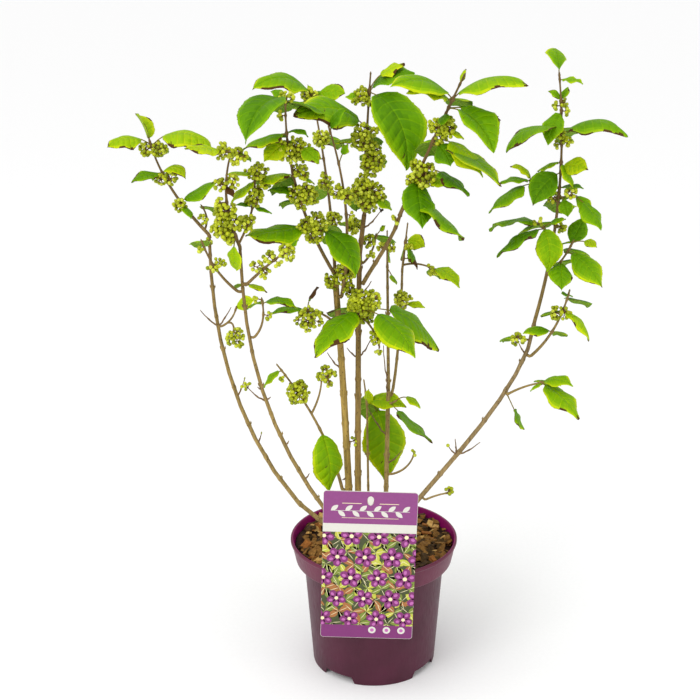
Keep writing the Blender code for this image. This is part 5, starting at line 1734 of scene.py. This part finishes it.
MIDDLE_CROWN = {
    "foliage_d_top": Mass("stem_d", 1.0, 90, shoots=(
        Shoot(end=(-0.003, 0.002, 0.602), bow=(-0.001, 0.0, 0.0), leaves=(
            # This leaf takes the rimmed finish, darkened as painted shade.
            (0.88, 0.093, 315, -5, 100, -15, "rimmed", {"spots": 4, "burnt": 0.1, "fold": 0.1}),
            (0.88, 0.050, 345, 60, 75, -25, "deep"),
            (0.90, 0.042, 350, 65, 60, -20, "yellow", {"burnt_tip": 0.15, "stalk": 0.39}),
            (0.86, 0.022, 185, 5, 20, 35, "fresh", {"stalk": 0.45}),
            (0.62, 0.084, 210, 50, 75, 30, "edged", {"spots": 4, "stalk": 0.13, "width": 0.56}),
            (0.56, 0.034, 210, 5, 20, 0, "lime", {"burnt": 0.8, "stalk": 0.39}),
            (0.18, 0.034, 330, -10, 40, -5, "fresh", {"stalk": 0.45}),
            (0.45, 0.050, 72, -9, 38, 0), (0.20, 0.055, 102, -19, 38, 0),
        ), fruit=(
            (0.85, 0.01, 210, 0), (0.79, 0.0065, 340, 20, 0.8), (0.62, 0.014, 250, -40),
            (0.47, 0.0095, 350, 0), (0.38, 0.013, 310, 0), (0.34, 0.004, 350, 0, 0.6),
            (0.10, 0.017, 280, 40), (0.20, 0.0065, 350, 0), (0.05, 0.0065, 350, 0, 0.7),
            (0.25, 0.0075, 190, 0, 0.7),
        )),
    )),
    "foliage_d_left": Mass("stem_d", 0.396, 150, shoots=(
        Shoot(end=(-0.024, 0.018, 0.46), bow=(-0.004, 0.0, 0.0), leaves=(
            (0.70, 0.030, 255, 0, 40, -25, "fresh", {"stalk": 0.44}),
            (1.00, 0.042, 84, -4, 38, 0), (0.50, 0.045, 81, -4, 38, 0),
        ), fruit=(
            (0.31, 0.012, 250, 20), (0.96, 0.0095, 340, 0), (0.52, 0.0065, 350, 0, 0.6),
            (0.08, 0.0085, 230, 0, 0.9),
        )),
    )),
    "foliage_d_inner": Mass("stem_d", 0.424, 50, shoots=(
        Shoot(end=(0.002, 0.014, 0.448), bow=(0.002, 0.001, -0.002), leaves=(
            (1.00, 0.014, 350, 60, 20, -35, "lime", {"stalk": 0.45}),
            (1.00, 0.045, 66, -4, 38, 0),
        ), fruit=((0.80, 0.0075, 190, 20), (0.47, 0.005, 270, 0, 0.5),)),
    )),
    "foliage_d_front": Mass("stem_d", 0.37, 270, shoots=(
        Shoot(end=(-0.013, -0.024, 0.386), leaves=(
            (1.00, 0.081, 320, 10, 75, 0, "edged", {"burnt": 0.4, "stalk": 0.27, "width": 0.55}),
            (1.00, 0.100, 15, 5, 75, -20, "edged", {"burnt": 0.9, "stalk": 0.29}),
            (1.00, 0.071, 225, -5, 50, 0, "edged", {"burnt": 0.8, "width": 0.56}),
        ), fruit=(
            (1.00, 0.014, 10, 40), (1.00, 0.009, 160, 60, 0.8), (1.00, 0.0095, 170, 40, 0.7),
            (1.00, 0.008, 0, 20, 0.8), (1.00, 0.0085, 170, 40, 0.9), (0.42, 0.0095, 350, 0),
            (0.25, 0.0085, 240, 20),
        )),
        Shoot(fork=0.5, end=(0.005, -0.03, 0.352), bow=(0.002, 0.0, 0.003),
            fruit=((0.82, 0.0095, 290, 40), (1.00, 0.005, 270, -60, 0.4),)),
    )),
}

grow_crown("d", MIDDLE_CROWN)

# Crown of the bough that forks to the right
# Long leaves arch out on both sides of its top joint, above drooping pairs lower down.

RIGHT_BOUGH_CROWN = {
    "foliage_d_right": Mass("bough_d_right", 1.0, 0, mates=False, shoots=(
        Shoot(end=(0.076, -0.096, 0.613), bow=(0.001, 0.0, 0.004), leaves=(
            (0.84, 0.069, 210, 50, 75, 20, "edged"), (0.82, 0.048, 205, 50, 75, 15, "lime"),
            (0.84, 0.077, 330, 50, 75, -10, "fresh", {"burnt": 0.5}),
            (0.78, 0.066, 315, 5, 75, -10, "green", {"fold": 0.5, "stalk": 0.19}),
            (0.78, 0.051, 15, 5, 40, -10, "edged", {"burnt_tip": 0.3, "burnt": 0.6, "stalk": 0.2}),
            (0.74, 0.022, 255, 0, 40, -15, "deep"),
            (0.54, 0.040, 295, 5, 60, -35, "deep", {"stalk": 0.29, "width": 0.57}),
            (0.56, 0.065, 320, 10, 75, 5, "lime", {"burnt": 0.2, "stalk": 0.26}),
            (0.52, 0.084, 320, 5, 50, 10, "edged", {"burnt": 0.5, "stalk": 0.22}),
            (0.64, 0.026, 335, 10, 60, 0, "yellow", {"stalk": 0.45}),
            (0.36, 0.059, 320, 5, 50, 10, "deep", {"burnt": 0.8, "stalk": 0.35}),
            (0.30, 0.030, 330, 5, 40, -20, "lime", {"stalk": 0.45}),
            (0.28, 0.060, 275, -25, 25, 15, "deep", {"burnt": 0.0, "spots": 1}),
            (0.18, 0.075, 315, -15, 25, 30, "green", {"burnt": 0.7, "stalk": 0.27, "width": 0.74}),
            (0.94, 0.014, 355, 80, 20, -35, "yellow", {"burnt_tip": 0.15}),
            (0.84, 0.050, 75, 0, 38, 0), (0.56, 0.055, 95, -10, 38, 0),
            (0.34, 0.050, 70, -10, 38, 0),
        ), fruit=(
            (0.64, 0.009, 240, 20), (0.67, 0.0095, 330, -20), (0.60, 0.0075, 330, -40),
            (0.36, 0.0065, 180, 20), (0.31, 0.013, 300, 0), (0.27, 0.0075, 230, 0),
            (0.28, 0.0075, 350, -20, 0.7), (0.00, 0.005, 200, -40, 0.6),
        )),
    )),
}

grow_crown("d_right", RIGHT_BOUGH_CROWN)

# Crowns of the right middle stem and of the thin stem beside it
# The right middle stem forks into two boughs behind the middle, and broad leaves hang low on both stems.

RIGHT_MIDDLE_CROWN = {
    "foliage_e_left": Mass("bough_e_left", 1.0, 90, mates=False, shoots=(
        Shoot(end=(0.014, 0.128, 0.424), leaves=(
            (0.02, 0.024, 300, -35, 0, 30, "fresh", {"stalk": 0.45}),
            (0.60, 0.050, 88, -20, 20, -75),
        ), fruit=((0.58, 0.007, 180, 0), (0.59, 0.0065, 350, 0),)),
    )),
    "foliage_e_right": Mass("bough_e_right", 1.0, 70, mates=False, shoots=(
        Shoot(end=(0.035, 0.12, 0.434), leaves=(
            (0.66, 0.024, 330, 15, 50, -65, "yellow", {"burnt": 1.0, "width": 0.74}),
            (0.64, 0.035, 300, -25, 40, 40, "deep", {"burnt_tip": 0.4, "burnt": 0.9, "stalk": 0.28}),
            (0.60, 0.050, 92, -20, 20, 75),
        ), fruit=((0.51, 0.0065, 350, 0, 0.6), (0.29, 0.005, 350, 0, 0.7),)),
        Shoot(fork=0.15, end=(0.061, 0.098, 0.393), bow=(0.0, 0.0, 0.003), leaves=(
            (1.00, 0.041, 320, 15, 75, -10, "lime", {"burnt": 0.6}),
            (0.90, 0.036, 66, -24, 20, 0),
        ), fruit=(
            (0.88, 0.0055, 260, 0), (1.00, 0.0045, 290, -60, 0.6), (0.98, 0.005, 250, -60, 0.6),
        )),
    )),
    "foliage_e_mid": Mass("bough_e_right", 0.352, 300, shoots=(
        Shoot(end=(0.032, 0.056, 0.366),
            leaves=((1.00, 0.021, 350, 25, 60, -25, "yellow", {"burnt": 0.6}),),
            fruit=((1.00, 0.01, 170, 60),)),
    )),
    "foliage_e_low": Mass("stem_e", 0.268, 300, shoots=(
        Shoot(end=(0.022, 0.026, 0.274), leaves=(
            (1.00, 0.034, 335, 55, 125, 5, "lime", {"burnt": 0.3, "stalk": 0.4}),
            (0.24, 0.064, 315, -25, 0, 25, "green", {"burnt": 1.0, "stalk": 0.17}),
        )),
    )),
    "foliage_e_foot": Mass("stem_e", 0.196, 340, shoots=(
        Shoot(end=(0.04, 0.004, 0.224), bow=(0.003, 0.0, -0.003), fruit=((1.00, 0.003, 270, 60, 0.5),)),
    )),
    "foliage_f": Mass("stem_f", 1.0, 90, mates=False, shoots=(
        Shoot(end=(-0.01, 0.056, 0.284), leaves=(
            (0.00, 0.018, 0, 85, 0, -50, "yellow", {"width": 0.7}),
            (0.12, 0.045, 340, 30, 60, -30, "lime"), (0.50, 0.045, 70, -55, 30, 0),
        )),
        Shoot(fork=0.15, end=(0.009, 0.072, 0.252), leaves=(
            # This leaf takes the lighter fresh tints as painted light, to brighten it where it lies in shade.
            (0.40, 0.087, 320, -55, 50, -30, "fresh", {"burnt": 0.1, "spots": 2}),
        )),
    )),
}

grow_crown("e", RIGHT_MIDDLE_CROWN)

# Crown of the right outer stem
# It arches far out, then stands upright and holds the largest spread of leaves, many with brown tips.

RIGHT_OUTER_CROWN = {
    "foliage_g_foot": Mass("stem_g", 0.184, 330, shoots=(
        Shoot(end=(0.074, -0.01, 0.189), bow=(0.0, 0.0, 0.001), fruit=((1.00, 0.005, 310, 60, 0.8),)),
    )),
    "foliage_g_mid": Mass("stem_g", 0.292, 300, shoots=(
        Shoot(end=(0.163, -0.024, 0.312), bow=(0.0, 0.0, 0.002), leaves=(
            (0.96, 0.039, 320, 45, 75, -15, "fresh"),
            (0.96, 0.057, 310, 0, 50, 0, "fresh", {"burnt": 0.5}),
            (1.00, 0.016, 205, -5, 40, -10, "fresh"),
            (0.06, 0.042, 0, -65, 0, -15, "edged", {"burnt": 0.9, "stalk": 0.42}),
            (0.95, 0.050, 66, -4, 38, 0),
        )),
    )),
    "foliage_g_left": Mass("stem_g", 0.344, 190, shoots=(
        Shoot(end=(0.141, 0.002, 0.35), leaves=((0.80, 0.045, 108, -4, 38, 0),),
            fruit=((1.00, 0.0085, 250, 0, 0.5),)),
    )),
    "foliage_g_side": Mass("stem_g", 0.33, 340, shoots=(
        Shoot(end=(0.187, -0.006, 0.398), bow=(0.004, -0.002, -0.004), leaves=(
            (0.96, 0.012, 225, 30, 20, 40, "deep"),
            (0.74, 0.045, 315, 15, 100, 20, "lime", {"burnt": 0.5}),
            (0.46, 0.031, 190, 30, 60, 20, "edged", {"burnt": 0.6}),
            (0.90, 0.050, 54, -4, 38, 0),
        ), fruit=((0.70, 0.007, 170, 20, 0.9), (0.78, 0.007, 280, -20, 0.9),)),
    )),
    "foliage_g_top": Mass("stem_g", 1.0, 90, shoots=(
        Shoot(end=(0.172, 0.02, 0.6), bow=(0.011, 0.0, 0.0), leaves=(
            (1.00, 0.042, 90, 60, 60, -15, "edged", {"widest": 0.62, "spots": 1}),
            (0.98, 0.024, 330, 15, 40, -15, "fresh", {"wave": 0.1}),
            (0.90, 0.016, 180, 65, 60, 50, "edged", {"burnt": 0.9}),
            (0.90, 0.018, 55, 60, 40, 5, "edged", {"burnt": 0.9}),
            (0.86, 0.039, 235, -25, 50, 15, "green", {"wave": 0.09}),
            (0.78, 0.070, 205, 35, 100, -5, "green", {"burnt": 1.0}),
            (0.76, 0.077, 325, 55, 100, -5, "green", {"burnt": 0.9}),
            (0.66, 0.029, 305, -30, 40, 15, "fresh"), (0.66, 0.027, 150, -5, 40, 15, "fresh"),
            (0.64, 0.038, 305, 25, 40, -55, "yellow", {"burnt_tip": 0.12, "burnt": 0.4}),
            (0.62, 0.046, 215, -10, 60, 50, "deep", {"burnt": 0.4, "width": 0.59}),
            (0.56, 0.026, 325, 25, 40, -10, "deep"),
            (0.54, 0.027, 295, -30, 40, -25, "green", {"wave": 0.09, "stalk": 0.33}),
            (0.42, 0.058, 126, -4, 38, 0), (0.79, 0.060, 84, -4, 38, 0),
            (0.50, 0.060, 78, -4, 38, 0),
        ), fruit=(
            (0.88, 0.0045, 180, 0, 0.8), (0.89, 0.005, 330, 0), (0.86, 0.0045, 340, 0),
            (0.78, 0.0055, 240, -20, 0.8), (0.74, 0.0065, 350, 0, 0.9),
            (0.73, 0.004, 180, 0, 0.6), (0.52, 0.0065, 180, 0, 0.5),
            (0.41, 0.0075, 350, -20, 0.4),
        )),
        Shoot(fork=0.2, end=(0.19, 0.006, 0.444), bow=(0.001, 0.0, -0.003), leaves=(
            (0.90, 0.034, 50, 55, 20, -25, "deep", {"width": 0.57}),
            (1.00, 0.026, 330, 25, 60, -20, "yellow", {"burnt": 0.6, "stalk": 0.45}),
            (0.46, 0.044, 265, 0, 50, 10, "green", {"burnt": 0.5}),
            (0.74, 0.054, 310, -5, 50, -25, "edged", {"burnt": 0.3}),
            (0.80, 0.050, 60, -4, 38, 0),
        )),
        Shoot(fork=0.5, end=(0.149, 0.014, 0.501), leaves=(
            (1.00, 0.029, 185, 85, 100, 20, "yellow", {"burnt_tip": 0.08}),
            (1.00, 0.034, 200, 25, 50, 5, "green", {"burnt": 0.5}),
            (0.92, 0.058, 210, 0, 50, -10, "green", {"burnt": 0.5, "stalk": 0.2}),
        )),
        Shoot(fork=0.52, end=(0.19, 0.008, 0.488), leaves=(
            (0.96, 0.024, 315, -10, 40, -40, "edged", {"width": 0.57}),
            (1.00, 0.047, 305, -10, 50, 0, "green", {"stalk": 0.25}),
        ), fruit=((0.80, 0.0075, 250, 60, 0.6),)),
        Shoot(fork=0.36, end=(0.158, 0.006, 0.461), leaves=(
            (0.78, 0.025, 335, 45, 40, -20, "edged", {"burnt": 0.5, "stalk": 0.34}),
            (0.88, 0.050, 295, -25, 100, -25, "fresh", {"burnt": 0.2, "fold": 0.08}),
            (0.90, 0.060, 150, 25, 75, -5, "green", {"burnt": 0.5, "width": 0.74}),
            (0.70, 0.058, 205, 0, 50, -10, "deep", {"burnt": 1.0}),
        ), fruit=((1.00, 0.0065, 230, 40, 0.4),)),
    )),
}

grow_crown("g", RIGHT_OUTER_CROWN)

# Dried twigs, stubs and stray berries
# Thin side twigs that have died back to grey brown wood, the stubs of others, and a few last berries on bare
# stalks. They grow from the stems' joints, as the leafy shoots do.

# Each row: stem, height on it, reach from the stem's middle, and what the twig bears at its end.

SIDE_TWIGS = (
    ("stem_a", 0.346, (-0.017, -0.003, 0.018), "bare"),
    ("stem_a", 0.346, (0.014, -0.003, 0.021), "bare"),
    ("stem_a", 0.226, (0.004, -0.004, 0.012), "bud"),
    ("stem_a", 0.274, (0.008, -0.003, 0.020), "bud"),
    ("stem_g", 0.227, (-0.008, -0.003, 0.010), "berry"),
    ("stem_g", 0.227, (-0.002, -0.004, 0.019), "bare"),
    ("stem_g", 0.227, (0.023, -0.003, 0.015), "bare"),
    ("stem_g", 0.330, (-0.007, -0.003, 0.012), "bare"),
    ("stem_d", 0.329, (-0.011, -0.003, 0.012), "bare"),
    ("stem_d", 0.329, (0.012, -0.003, 0.020), "bare"),
    ("stem_d", 0.392, (0.012, -0.003, 0.016), "bare"),
    ("stem_d", 0.458, (0.017, -0.003, 0.018), "dried"),
    ("stem_b", 0.311, (-0.004, -0.004, 0.004), "bare"),
    ("stem_b", 0.300, (0.005, -0.003, 0.004), "bare"),
    ("stem_b", 0.250, (0.004, -0.003, 0.006), "bare"),
    ("stem_b", 0.211, (0.005, -0.003, 0.008), "bare"),
    ("stem_b", 0.298, (-0.017, -0.003, 0.015), "spray"),
    ("stem_c", 0.240, (0.007, -0.004, 0.002), "spray"),
    ("stem_c", 0.202, (-0.006, -0.003, -0.003), "bare"),
    ("stem_c", 0.316, (-0.014, -0.003, 0.019), "bare"),
    ("stem_e", 0.272, (-0.005, -0.003, 0.058), "bare"),
    ("stem_e", 0.234, (-0.020, -0.003, 0.032), "bare"),
    ("stem_e", 0.206, (0.014, -0.003, 0.014), "bud"),
)
TWIG_ROOT = 0.0010
TWIG_END = 0.0004
TWIG_SAG = 0.08
TWIG_CROOK = 0.02
TWIG_KNEE = 1.35
TWIG_PARTS = 8
TWIG_SEAT = 0.7
SIDE_BUD_MIDDLE = 0.0014
SIDE_BUD_LENGTH = 0.0034
SIDE_BUD_RADII = (0.0006, 0.0009, 0.0002)
SPRAY_BERRIES = 6
SPRAY_REACH = (0.0035, 0.0065)
SPRAY_SIZES = (0.7, 0.95)
SPRAY_STALK_RADII = (0.0004, 0.0003, 0.0003)
DRIED_REACH = (0.0018, 0.0036)
SHRUNK_BERRY = 0.0009


def dry_finish(name, dark, pale):
    """Dead wood or fruit: dry, flecked and without gloss."""
    material, tree, shader = plain_finish(name, dark, 0.85)
    fleck = noise(tree, own_coordinates(tree), 0.002, 4, 0.6)
    tree.links.new(ramp(tree, fleck, ((0.35, dark), (0.65, pale))), shader.inputs["Base Color"])
    bump(tree, shader, fleck, 0.4, 0.0004)
    return material


def add_side_twig(wood, berries, dried, limb, height, reach, end):
    """One crooked twig that sags a little, thicker at its middle joint, and what it bears at its end."""
    draw = random.Random(f"{limb} {height} {reach}")
    path, foot_radius, tip_radius = limbs[limb]
    share = share_at_height(path, height)
    reach = Vector(reach)
    own_radius = foot_radius + (tip_radius - foot_radius) * share
    start = point_on(path, share) + reach.normalized() * own_radius * TWIG_SEAT
    tip = point_on(path, share) + reach
    spots = []
    for k in range(TWIG_PARTS + 1):
        part = k / TWIG_PARTS
        crook = Vector([draw.uniform(-TWIG_CROOK, TWIG_CROOK) * reach.length for _ in range(3)])
        crook = crook * sin(pi * part)
        sag = Vector((0, 0, -TWIG_SAG * reach.length * sin(pi * part)))
        spots.append(start.lerp(tip, part) + sag + crook)
    radii = np.linspace(TWIG_ROOT, TWIG_END, TWIG_PARTS + 1)
    radii[TWIG_PARTS // 2] *= TWIG_KNEE
    wood.add(*tube(spots, radii, 7), 0)
    way = (spots[-1] - spots[-2]).normalized()
    if end == "bud":
        bud = [tip, tip + way * SIDE_BUD_MIDDLE, tip + way * SIDE_BUD_LENGTH]
        wood.add(*tube(bud, SIDE_BUD_RADII, 6), 1)
    elif end == "berry":
        add_berry(berries, tip + way * BERRY_RADIUS, way, BERRY_RADIUS, 0)
    elif end == "spray":
        for out in spiral(SPRAY_BERRIES, draw.uniform(0, WHOLE_TURN)):
            out = (out + way).normalized()
            spot = tip + out * draw.uniform(*SPRAY_REACH)
            wood.add(*tube([tip, tip.lerp(spot, 0.5), spot], SPRAY_STALK_RADII, 4), 0)
            add_berry(berries, spot, out, BERRY_RADIUS * draw.uniform(*SPRAY_SIZES), draw.randrange(3))
    elif end == "dried":
        for out in spiral(SPRAY_BERRIES, draw.uniform(0, WHOLE_TURN)):
            spot = tip + (out + way).normalized() * draw.uniform(*DRIED_REACH)
            radii = (0.0003, SHRUNK_BERRY * 0.6, SHRUNK_BERRY)
            dried.add(*tube([tip, tip.lerp(spot, 0.6), spot], radii, 5), 0)


def make_side_twigs():
    """All the side twigs, their last berries, and their dried ones, each kind as one piece."""
    wood, berries, dried = Bundle(), Bundle(), Bundle()
    for row in SIDE_TWIGS:
        add_side_twig(wood, berries, dried, *row)
    dry_wood = dry_finish("dry_wood", pigment(88, 62, 36), pigment(146, 118, 78))
    fresh_bud = dry_finish("side_bud", pigment(132, 138, 40), pigment(158, 160, 62))
    black = dry_finish("dried_fruit", pigment(34, 27, 20), pigment(70, 54, 34))
    bearers = sorted({row[0] for row in SIDE_TWIGS})
    dress(wood.piece("dried_twigs", [dry_wood, fresh_bud]), "bark", *bearers)
    dress(berries.piece("stray_berries", BERRY_MATERIALS), "bark", *bearers)
    dress(dried.piece("dried_berries", [black]), "bark", *bearers)


make_side_twigs()

# Stage
# A plain pale floor under soft studio light, and a camera at the photograph's angle.

CAMERA_PLACE = (0.0, -1.225, 0.749)
CAMERA_DIP = 18.58
CAMERA_LENS = 68.1
CAMERA_SHIFT = -0.034
FLOOR_HALF = 45.0
STUDIO_STRENGTH = 0.78
OVERHEAD_POWER = 0.9
OVERHEAD_SPREAD = 60
OVERHEAD_TILT = (18, -14)
LIGHT_AIM = (0, 0, 0.3)

# Each row: name, place, width and power of a lamp.

LAMPS = (
    ("key_light", (-1.2, -1.6, 1.5), 1.0, 14),
    ("fill_light", (1.6, -1.1, 1.0), 1.2, 5),
)


def make_floor():
    """Pale matt paper, wide enough to reach past every view."""
    material, tree, shader = plain_finish("floor_paper", pigment(246, 246, 244), 0.9, 0.1)
    fibre = noise(tree, own_coordinates(tree), 0.004, 3)
    tree.links.new(ramp(tree, fibre, ((0.3, grey(0.93)), (0.7, grey(0.95)))), shader.inputs["Base Color"])
    points = [(x * FLOOR_HALF, y * FLOOR_HALF, 0) for x, y in ((-1, -1), (1, -1), (1, 1), (-1, 1))]
    floor = new_piece("floor", points, [(0, 1, 2, 3)], [material], smooth=False)


def soft_light(name, place, size, power):
    """A round studio light that aims at the plant."""
    lamp = bpy.data.lights.new(name, "AREA")
    lamp.shape = "DISK"
    lamp.size = size
    lamp.energy = power
    made = bpy.data.objects.new(name, lamp)
    made.location = place
    made.rotation_euler = (Vector(LIGHT_AIM) - Vector(place)).to_track_quat("-Z", "Y").to_euler()
    bpy.context.collection.objects.link(made)


def make_stage():
    """White studio light from all round, a soft sun from above, two lamps, and the camera."""
    make_floor()
    world = bpy.data.worlds.new("studio")
    world.use_nodes = True
    world.node_tree.nodes["Background"].inputs["Color"].default_value = (1.0, 1.0, 1.0, 1.0)
    world.node_tree.nodes["Background"].inputs["Strength"].default_value = STUDIO_STRENGTH
    bpy.context.scene.world = world
    sky = bpy.data.lights.new("overhead_light", "SUN")
    sky.energy = OVERHEAD_POWER
    sky.angle = radians(OVERHEAD_SPREAD)
    overhead = bpy.data.objects.new("overhead_light", sky)
    overhead.rotation_euler = (radians(OVERHEAD_TILT[0]), radians(OVERHEAD_TILT[1]), 0)
    bpy.context.collection.objects.link(overhead)
    for lamp in LAMPS:
        soft_light(*lamp)
    camera = bpy.data.cameras.new("camera")
    camera.lens = CAMERA_LENS
    camera.shift_x = CAMERA_SHIFT
    view = bpy.data.objects.new("camera", camera)
    view.location = CAMERA_PLACE
    view.rotation_euler = (radians(90 - CAMERA_DIP), 0, 0)
    bpy.context.collection.objects.link(view)
    bpy.context.scene.camera = view
    bpy.context.scene.view_settings.view_transform = "Standard"


make_stage()
